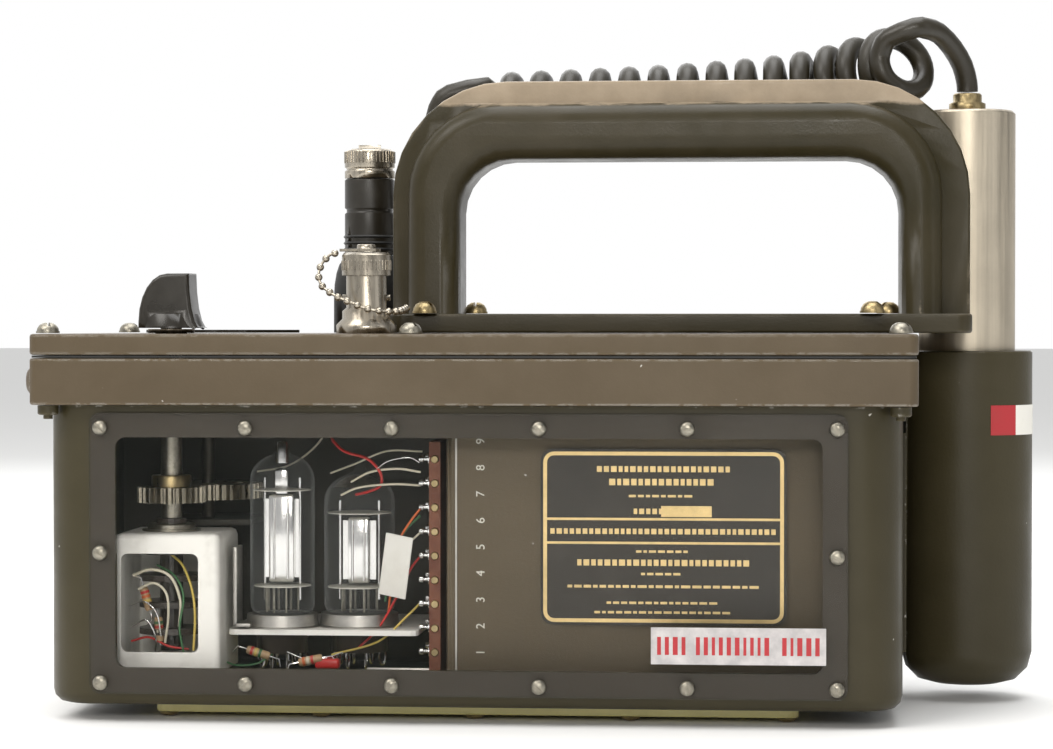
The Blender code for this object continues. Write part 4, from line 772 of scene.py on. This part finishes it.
def valve(number, plate_width, plate_depth, plate_low, plate_high, getter):
    """A glass valve: shell, plate with its ribs, spacers, rods, pins and, where asked, a getter.
    """
    low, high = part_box(f"valve_{number}")
    x, y = (low.x + high.x) / 2, (low.y + high.y) / 2
    radius, height, foot = (high.x - low.x) / 2, high.z - low.z, low.z
    shoulder = height - 0.004 - radius * 0.8
    outer = [(0, height), (0.0012, height - 0.0006), (0.0019, height - 0.0032)]
    outer += [(radius * sin(radians(a)), shoulder + radius * 0.8 * cos(radians(a)))
              for a in (16, 30, 45, 60, 75, 90)]
    outer += [(radius, 0.0024), (radius - 0.0009, 0.0006), (radius - 0.002, 0)]
    shell = lathe(outer + [(0.0002, 0)], 40, (x, y, foot))
    settle(shell, f"valve_{number}_glass", "root", GLASS, 60)
    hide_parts(f"valve_{number}")
    works = []
    span = plate_high - plate_low
    centre = (x, y, foot + (plate_low + plate_high) / 2)
    works.append(block(centre, (plate_width, plate_depth, span), 0.0008, 2))
    for side in (-1, 1):
        for face in (-1, 1):
            rib_at = (x + side * plate_width * 0.27, y + face * plate_depth / 2, centre[2])
            works.append(block(rib_at, (0.0007, 0.0007, span * 0.94), 0.0002, 1))
        flange_at = (x + side * (plate_width / 2 + 0.0008), y, centre[2])
        works.append(block(flange_at, (0.0020, 0.0004, span * 0.9), 0.0001, 1))
        rod_path = [Vector((x + side * radius * 0.55, y, foot + 0.004)),
                    Vector((x + side * radius * 0.55, y, foot + plate_high + 0.005))]
        works.append(round_wire(rod_path, 0.0004, 2))
    settle(join(works), f"valve_{number}_plate", "root", BRIGHT)
    mica = []
    for level in (plate_low - 0.0012, plate_high + 0.0012):
        mica.append(lathe([(0, 0.0003), (radius - 0.0011, 0.0003), (radius - 0.0011, 0),
                           (0, 0)], 24, (x, y, foot + level)))
    settle(join(mica), f"valve_{number}_mica", "root", WHITE_INK)
    pins = []
    for k in range(7):
        a = 2 * pi * k / 8 + 0.4
        px, py = x + radius * 0.5 * cos(a), y + radius * 0.5 * sin(a)
        pins.append(round_wire([Vector((px, py, foot + 0.0004)),
                                Vector((px, py, foot + plate_low - 0.001))], 0.0004, 2))
    settle(join(pins), f"valve_{number}_pins", "root", ZINC)
    if getter:
        flash = lathe([(0.0004, shoulder + radius * 0.8 - 0.0010)]
                      + [((radius - 0.0009) * sin(radians(a)),
                          shoulder - 0.0006 + (radius * 0.8) * cos(radians(a)))
                         for a in (12, 25, 40, 55)], 32, (x, y, foot))
        settle(flash, f"valve_{number}_getter", "root", ZINC, 60)


def make_valves():
    valve(1, 0.0078, 0.0050, 0.0095, 0.0360, False)
    valve(2, 0.0066, 0.0056, 0.0090, 0.0290, True)
    low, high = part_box("valve_1")
    x, y = (low.x + high.x) / 2, (low.y + high.y) / 2
    cap = lathe([(0, 0.0068), (0.0016, 0.0064), (0.0021, 0.0050), (0.0021, 0.0), (0, 0)], 20,
                (x, y, high.z - 0.0070))
    settle(cap, "valve_1_cap", "root", BRIGHT)
    top_plate = block((x, y, high.z - 0.0125), (0.0042, 0.0042, 0.0080), 0.0009, 2)
    settle(top_plate, "valve_1_top_plate", "root", BRIGHT)


def make_socket_lugs():
    """Saddles on top of the deck and solder lugs below it, at both sockets."""
    for number in (1, 2):
        low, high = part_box(f"valve_socket_{number}")
        x, y = (low.x + high.x) / 2, (low.y + high.y) / 2
        radius = (high.x - low.x) / 2
        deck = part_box("valve_deck")[1].z
        saddle = lathe([(radius * 0.80, 0.0040), (radius * 1.02, 0.0040),
                        (radius * 1.06, 0.0006), (radius * 1.12, 0.0003),
                        (radius * 1.12, 0.0), (radius * 0.80, 0.0), (radius * 0.80, 0.0040)],
                       32, (x, y, deck))
        settle(saddle, f"socket_saddle_{number}", "root", SHEET_METAL)
        lugs = []
        for k in range(7):
            a = 2 * pi * k / 8 + 0.4
            centre = Vector((x + radius * 0.62 * cos(a), y + radius * 0.62 * sin(a),
                             low.z - 0.0018))
            out = Vector((cos(a), sin(a), 0))
            loop = [centre + out * 0.0010 * cos(t) + Vector((0, 0, 0.0028)) * sin(t)
                    for t in [2 * pi * i / 12 for i in range(13)]]
            lugs.append(round_wire(loop, 0.00032, 1))
        settle(join(lugs), f"socket_lugs_{number}", "root", BRIGHT)


def make_terminals():
    """Two columns of solder posts with tinned wire wraps on the board's left face."""
    low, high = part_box("terminal_board")
    posts = []
    for column, y in enumerate((low.y + 0.0035, low.y + 0.0200)):
        for row in range(TERMINAL_ROWS):
            z = high.z - FIRST_TERMINAL - row * TERMINAL_PITCH
            posts.append(lathe([(0, 0.0034), (0.0008, 0.0034), (0.0010, 0.0030),
                                (0.0010, 0.0022), (0.0006, 0.0020), (0.0006, 0.0008),
                                (0.0014, 0.0006), (0.0014, 0), (0, 0)], 16,
                               (low.x, y, z), (0, -pi / 2, 0)))
    settle(join(posts), "terminal_posts", "root", BRIGHT)
    rims = []
    for row in range(TERMINAL_ROWS):
        z = high.z - FIRST_TERMINAL - row * TERMINAL_PITCH
        rims.append(lathe([(0, 0.0005), (0.0010, 0.0005), (0.0013, 0), (0, 0)], 12,
                          (low.x + 0.0017, low.y - 0.00005, z), (pi / 2, 0, 0)))
    settle(join(rims), "board_rivets", "root", BRASS)


WIRE_RUNS = [
    ("red", 0.9, [(-44, -30, 82), (-40, -33, 79), (-33, -35, 77), (-29, -36, 73),
                  (-29, -35, 69), (-33, -33, 67), (-37, -31, 66)]),
    ("red", 0.8, [(-44, -30, 82), (-46, -26, 84), (-52, -20, 85)]),
    ("cream", 0.7, [(-17, -34, 73), (-24, -35, 74), (-32, -35, 73), (-38, -34, 70)]),
    ("cream", 0.7, [(-17, -34, 69), (-25, -37, 69.5), (-35, -37, 68.5), (-41, -34, 66)]),
    ("cream", 0.6, [(-17, -30, 79), (-28, -28, 79), (-38, -25, 75), (-46, -22, 72)]),
    ("orange", 0.7, [(-17, -36, 62), (-20, -37, 58), (-23, -37, 53), (-25, -36, 47),
                     (-26, -34, 38), (-27, -32, 31)]),
    ("green", 0.7, [(-17, -35, 60), (-21, -36, 56), (-24.5, -36, 50), (-26, -35, 44),
                    (-28, -32, 34)]),
    ("cream", 0.6, [(-17, -35, 55), (-21, -35, 51), (-23.5, -35, 46), (-25, -33, 40)]),
    ("red", 0.7, [(-17, -33, 48), (-20, -34, 44), (-24, -34, 36), (-30, -32, 26),
                  (-36, -32, 20)]),
    ("yellow", 0.7, [(-17, -31, 34), (-22, -33, 29), (-30, -34, 22), (-44, -34, 18)]),
    ("bare", 0.4, [(-17, -37, 76), (-20, -38, 77.5), (-26, -38, 76.5), (-30, -36, 74)]),
    ("bare", 0.4, [(-58, -34, 19), (-52, -36, 17), (-46, -36, 17), (-40, -34, 19)]),
    ("green", 0.6, [(-62, -34, 18), (-66, -37, 15.5), (-72, -38, 15), (-77, -34, 16)]),
    ("cream", 0.6, [(-47, -10, 88), (-52, -12, 80), (-60, -14, 74), (-70, -14, 72)]),
    ("yellow", 0.8, [(-84, -44, 20), (-83.4, -44.6, 30), (-84.6, -43, 38), (-88, -40, 45),
                     (-92, -37, 48)]),
    ("green", 0.7, [(-87, -44, 19.5), (-88, -45, 27), (-87, -44, 36), (-90, -42, 42),
                    (-96, -39, 45)]),
    ("cream", 0.9, [(-103, -40, 42), (-97, -43, 44), (-91, -44, 42), (-88, -44, 35),
                    (-88.5, -43, 27)]),
    ("cream", 0.8, [(-101, -42, 38), (-96, -44, 40), (-92, -45, 37), (-91.6, -44, 30),
                    (-93, -42, 22)]),
    ("bare", 0.5, [(-104, -42, 33), (-99, -44, 34.5), (-95, -44.5, 31), (-94, -43, 24)]),
    ("bare", 0.5, [(-103, -43, 27), (-98, -45, 29), (-95.5, -44, 24), (-96, -42, 19.5)]),
    ("red", 0.7, [(-104, -38, 22), (-98, -41, 23.5), (-92, -42, 21), (-86, -41, 20)]),
]


def make_wires():
    for number, (colour, diameter, route) in enumerate(WIRE_RUNS, 1):
        path = smooth_route([on_lid(*p) for p in route], 6)
        wire = round_wire(path, diameter / 2000, 2)
        settle(wire, f"{colour}_wire_{number}", "root", WIRE_COLOURS[colour], 60)


def resistor(at, turn, body_colour, bands):
    """A carbon resistor lying along X before its turn, with its bands and leads."""
    parts = []
    r = 0.0013
    body = lathe([(0, 0.0036), (r * 0.8, 0.0036), (r, 0.0030), (r, -0.0030),
                  (r * 0.8, -0.0036), (0, -0.0036)], 16, (0, 0, 0), (0, pi / 2, 0))
    parts.append((body, body_colour))
    for k, colour in enumerate(bands):
        ring = lathe([(r, 0.0004), (r + 0.00008, 0.0004), (r + 0.00008, -0.0004),
                      (r, -0.0004)], 16, (-0.0020 + k * 0.0013, 0, 0), (0, pi / 2, 0))
        parts.append((ring, colour))
    for side in (-1, 1):
        lead = round_wire([Vector((side * 0.0035, 0, 0)), Vector((side * 0.0065, 0, 0)),
                           Vector((side * 0.0075, 0, -0.002))], 0.0003, 1)
        parts.append((lead, BRIGHT))
    placed = Matrix.Translation(at) @ Matrix.Rotation(turn, 4, "Y")
    for piece, _ in parts:
        piece.matrix_world = placed @ piece.matrix_world
    return parts


def make_small_parts():
    """Resistors below the deck and in the shield, a red capacitor and a wiring tag."""
    tan = moulded("resistor_tan", (0.45, 0.30, 0.16), 0.5)
    runs = [((-66, -35, 18.5), 0.3, tan, ("red", "yellow", "green")),
            ((-50, -36, 16.5), -0.2, tan, ("orange", "cream", "red")),
            ((-99, -40, 35), 1.3, tan, ("red", "orange", "yellow")),
            ((-95, -41, 26), 1.5, tan, ("green", "red", "cream"))]
    for number, (at, turn, colour, bands) in enumerate(runs, 1):
        bands = [WIRE_COLOURS[b] for b in bands]
        for k, (piece, finish) in enumerate(resistor(on_lid(*at), turn, colour, bands)):
            settle(piece, f"resistor_{number}_{k}", "root", finish, 50)
    red = block(on_lid(-45, -35, 15.5), (0.0075, 0.004, 0.0030), 0.0009, 3)
    settle(red, "red_capacitor", "root", WIRE_COLOURS["red"])
    tag = block(on_lid(-24.2, -36.5, 45), (0.0088, 0.0004, 0.0190), 0.0002, 1)
    tag.rotation_euler = (radians(6), radians(10), radians(-14))
    settle(tag, "wiring_tag", "root", TAG_WHITE)


def make_switch_fittings():
    """The nut that holds the switch in its shield, and the brass hub on its gear."""
    shield_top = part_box("switch_shield")[1].z
    shaft_low, shaft_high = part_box("switch_shaft")
    x, y = (shaft_low.x + shaft_high.x) / 2, (shaft_low.y + shaft_high.y) / 2
    nut = lathe([(0.0047, 0.0022), (0.0068, 0.0022), (0.0072, 0.0018), (0.0072, 0.0006),
                 (0.0088, 0.0005), (0.0088, 0.0), (0.0047, 0.0), (0.0047, 0.0022)], 6 * 4,
                (x, y, shield_top + 0.0001))
    settle(nut, "switch_nut", "root", ZINC)
    hub = lathe([(0.0034, 0.0035), (0.0058, 0.0035), (0.0060, 0.0032), (0.0060, 0.0),
                 (0.0034, 0.0), (0.0034, 0.0035)], 28,
                (x, y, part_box("drive_gear")[1].z + 0.0001))
    settle(hub, "gear_hub", "knob", BRASS)


def make_bracket_and_strips():
    """The bracket by the shield, a bright strip painted as the highlight along the box's groove,
    and the strip on the floor.
    """
    bracket = block(on_lid(-72.6, -33, 38.5), (0.0012, 0.010, 0.0240), 0.0003, 2)
    settle(bracket, "valve_bracket", "root", SHEET_METAL)
    foot = block(on_lid(-70.6, -33, 27.0), (0.0052, 0.010, 0.0012), 0.0003, 2)
    settle(foot, "bracket_foot", "root", SHEET_METAL)
    low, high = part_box("battery_box")
    # painted highlight: a strip of bright metal stands for the light caught along the groove
    # near the box's left edge
    line = block((low.x + 0.0031, low.y - 0.00012, (low.z + high.z) / 2),
                 (0.0006, 0.00025, high.z - low.z - 0.006), 0.0001, 1)
    settle(line, "box_groove_highlight", "root", SHEET_METAL)
    strip = block(on_lid(-22, -36, 13.5), (0.022, 0.0014, 0.0022), 0.0004, 2)
    settle(strip, "floor_strip", "root", SHEET_METAL)


# ------------------------------------------------------------------ plates and labels


def plate_border(x0, z0, x1, z1, y, line, depth, corner):
    """A thin raised border with round corners, its face on -Y."""
    deselect()
    bpy.ops.mesh.primitive_plane_add(size=1, rotation=(pi / 2, 0, 0),
                                     location=((x0 + x1) / 2, y, (z0 + z1) / 2))
    border = bpy.context.object
    border.scale = (x1 - x0, z1 - z0, 1)
    bpy.ops.object.transform_apply(location=False, rotation=False, scale=True)
    bpy.ops.object.mode_set(mode="EDIT")
    bpy.ops.mesh.select_all(action="SELECT")
    bpy.ops.mesh.bevel(offset=corner, segments=6, affect="VERTICES")
    bpy.ops.mesh.select_all(action="SELECT")
    bpy.ops.mesh.inset(thickness=line, depth=0)
    bpy.ops.mesh.delete(type="FACE")
    bpy.ops.mesh.select_all(action="SELECT")
    bpy.ops.mesh.normals_make_consistent(inside=False)
    bpy.ops.object.mode_set(mode="OBJECT")
    wall = border.modifiers.new("wall", "SOLIDIFY")
    wall.thickness = depth
    bpy.ops.object.modifier_apply(modifier="wall")
    bpy.ops.object.transform_apply(location=True, rotation=True, scale=True)
    return border


def dashes(draw, x0, x1, z, height, y, shortest, longest, gap):
    """A row of plain strokes that stands in for a line of print."""
    row = []
    x = x0
    while x < x1 - shortest:
        length = min(draw.uniform(shortest, longest), x1 - x)
        row.append(block((x + length / 2, y, z), (length, 0.00010, height)))
        x += length + gap
    return row


NAMEPLATE_ROWS = [
    # drop from the plate's top, stroke height, share of the width, shortest, longest (mm)
    (5.9, 1.7, 0.54, 1.0, 1.7), (9.7, 1.9, 0.44, 1.1, 1.8), (13.8, 0.7, 0.28, 1.0, 2.4),
    (18.3, 1.6, 0.24, 1.0, 1.6), (24.2, 1.6, 0.92, 1.0, 1.7), (30.1, 0.7, 0.22, 1.0, 2.2),
    (33.4, 1.8, 0.70, 1.1, 1.8), (36.7, 0.7, 0.18, 1.0, 2.2), (40.4, 0.8, 0.78, 1.2, 2.8),
    (45.2, 0.7, 0.46, 1.0, 2.4), (48.0, 0.7, 0.56, 1.0, 2.4),
]


def make_nameplate_print():
    low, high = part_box("nameplate")
    y = low.y - 0.00006
    inset = 0.0008
    border = plate_border(low.x + inset, low.z + inset, high.x - inset, high.z - inset,
                           y, 0.0011, 0.00016, 0.0032)
    lines = [border]
    for drop in (20.6, 27.6):
        lines.append(block(((low.x + high.x) / 2, y, high.z - drop / 1000),
                           (high.x - low.x - 2 * inset, 0.00012, 0.0007)))
    draw = random.Random(27)
    middle = (low.x + high.x) / 2
    for drop, stroke, share, shortest, longest in NAMEPLATE_ROWS:
        half = (high.x - low.x) * share / 2
        lines += dashes(draw, middle - half, middle + half, high.z - drop / 1000,
                        stroke / 1000, y, shortest / 1000, longest / 1000, 0.0006)
    lines.append(block((middle + 0.0068, y, high.z - 0.0183), (0.0148, 0.00012, 0.0032)))
    settle(join(lines), "nameplate_print", "root", GOLD)


def make_foil_labels():
    x0, x1 = PANE_HIGH.x - 0.0566, PANE_HIGH.x - 0.0062
    z0, z1 = PANE_LOW.z + 0.0101, PANE_LOW.z + 0.0208
    y = PANE_LOW.y - 0.00008
    label = block(((x0 + x1) / 2, y, (z0 + z1) / 2), (x1 - x0, 0.00012, z1 - z0))
    settle(label, "window_label", "root", FOIL)
    draw = random.Random(11)
    strokes = []
    for start, end in ((0.0018, 0.0105), (0.0130, 0.0355), (0.0378, 0.0486)):
        strokes += dashes(draw, x0 + start, x0 + end, (z0 + z1) / 2, 0.0052, y - 0.00008,
                          0.0008, 0.0015, 0.0011)
    settle(join(strokes), "window_label_print", "root", RED_INK)
    low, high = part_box("probe_well")
    radius = (high.y - low.y) / 2
    x, y0 = high.x - radius, (low.y + high.y) / 2
    bands = ((-72, -46, RED_INK, "well_label_red"), (-46, -8, TAG_WHITE, "well_label_white"))
    for start, end, ink, name in bands:
        band = lathe([(radius, 0.0830), (radius, 0.0922)], 12, (x, y0, 0), (0, 0, radians(end)),
                     radians(end - start))
        pick(band)
        wall = band.modifiers.new("wall", "SOLIDIFY")
        wall.thickness = 0.00024
        wall.offset = 0
        bpy.ops.object.modifier_apply(modifier="wall")
        settle(band, name, "root", ink, 60)


def number_text(body, size, extrude, at, turn):
    """A flat number, centred over a place, as a mesh."""
    deselect()
    bpy.ops.object.text_add()
    text = bpy.context.object
    text.data.body = body
    text.data.size = size
    text.data.extrude = extrude
    text.data.align_x = "CENTER"
    text.rotation_euler = turn
    text.location = at
    bpy.ops.object.convert(target="MESH")
    return bpy.context.object


def make_numerals():
    """Terminal numbers stencilled up the battery box, reading from below."""
    low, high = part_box("battery_box")
    letters = []
    for row in range(9):
        at = (low.x + 0.0115, low.y - 0.00005, high.z - 0.0075 - row * 0.0078)
        letters.append(number_text(str(9 - row), 0.0036, 0.00006, at, (pi / 2, -pi / 2, 0)))
    settle(join(letters), "terminal_numbers", "root", WHITE_INK)


def make_dial_print():
    """Ticks and numbers on the turning scale, a set for each range."""
    low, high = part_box("scale_dial")
    arbor_low, arbor_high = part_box("scale_arbor")
    x, y = (arbor_low.x + arbor_high.x) / 2, (arbor_low.y + arbor_high.y) / 2
    z = high.z + 0.00005
    marks = []
    for step in range(56):
        a = radians(52 + step * 3)
        long_mark = step % 5 == 0
        reach = 0.0040 if long_mark else 0.0022
        at = (x + (0.0318 - reach / 2) * cos(a), y + (0.0318 - reach / 2) * sin(a), z)
        tick = block(at, (reach, 0.0004 if long_mark else 0.00025, 0.0001))
        tick.rotation_euler = (0, 0, a)
        marks.append(tick)
        if long_mark:
            at = (x + 0.0236 * cos(a), y + 0.0236 * sin(a), z)
            marks.append(number_text(str(step // 5 % 6), 0.0042, 0.00004, at,
                                     (0, 0, a - pi / 2)))
    settle(join(marks), "dial_print", "scale", BAKELITE)


def slope_handle_web(skin):
    """Ease the web's outer front edge back, so its face slopes away from the round bar."""
    low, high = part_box("handle")
    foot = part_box("handle_screw_1")[0].z + 0.0002
    middle = (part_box("handle_screw_1")[0].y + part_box("handle_screw_3")[1].y) / 2
    corner = HANDLE_CORNER
    pick(skin)
    for vertex in skin.data.vertices:
        x, y, z = vertex.co
        from_end = min(x - low.x, high.x - x)
        gap = min(from_end, high.z - z)
        if from_end < corner and high.z - z < corner:
            gap = corner - ((corner - from_end) ** 2 + (corner - high.z + z) ** 2) ** 0.5
        vertex.select = gap < WEB_EDGE and z > foot and y < middle
    bpy.ops.object.mode_set(mode="EDIT")
    bpy.ops.mesh.select_mode(type="VERT")
    bpy.ops.transform.translate(value=(0, WEB_SLOPE, 0))
    bpy.ops.object.mode_set(mode="OBJECT")


SKINS = [
    # node, sharpest corner shaded smooth (degrees)
    ("handle", 32), ("probe_well", 35), ("probe_tube", 35), ("probe_gland", 30),
    ("panel_gland", 30), ("post_boot", 40), ("post_body", 35), ("post_cap", 35),
    ("phone_jack", 35), ("jack_cap", 35), ("strap_stud", 40), ("range_knob", 32),
    ("probe_end_cap", 35), ("case_body", 32), ("battery_box", 32), ("switch_shield", 32),
    ("valve_socket_1", 35), ("valve_socket_2", 35), ("switch_shaft", 35),
    ("panel_bushing", 35), ("top_panel", 32), ("case_collar", 32),
]


def make_smooth_skins():
    for node, angle in SKINS:
        skin = refine(node, angle)
        if node == "handle":
            slope_handle_web(skin)


make_camera()
make_cord()
make_studio()
make_smooth_skins()
make_window_screws()
make_round_heads([f"panel_screw_{i}" for i in range(1, 7)], ZINC, 5)
make_round_heads([f"handle_screw_{i}" for i in range(1, 5)], BRASS, 6)
make_bottom_screws()
make_collar_nuts()
make_chain()
make_cap_knurl()
make_post_bands()
make_knob_line()
make_valves()
make_socket_lugs()
make_terminals()
make_wires()
make_small_parts()
make_switch_fittings()
make_bracket_and_strips()
make_nameplate_print()
make_foil_labels()
make_numerals()
make_dial_print()
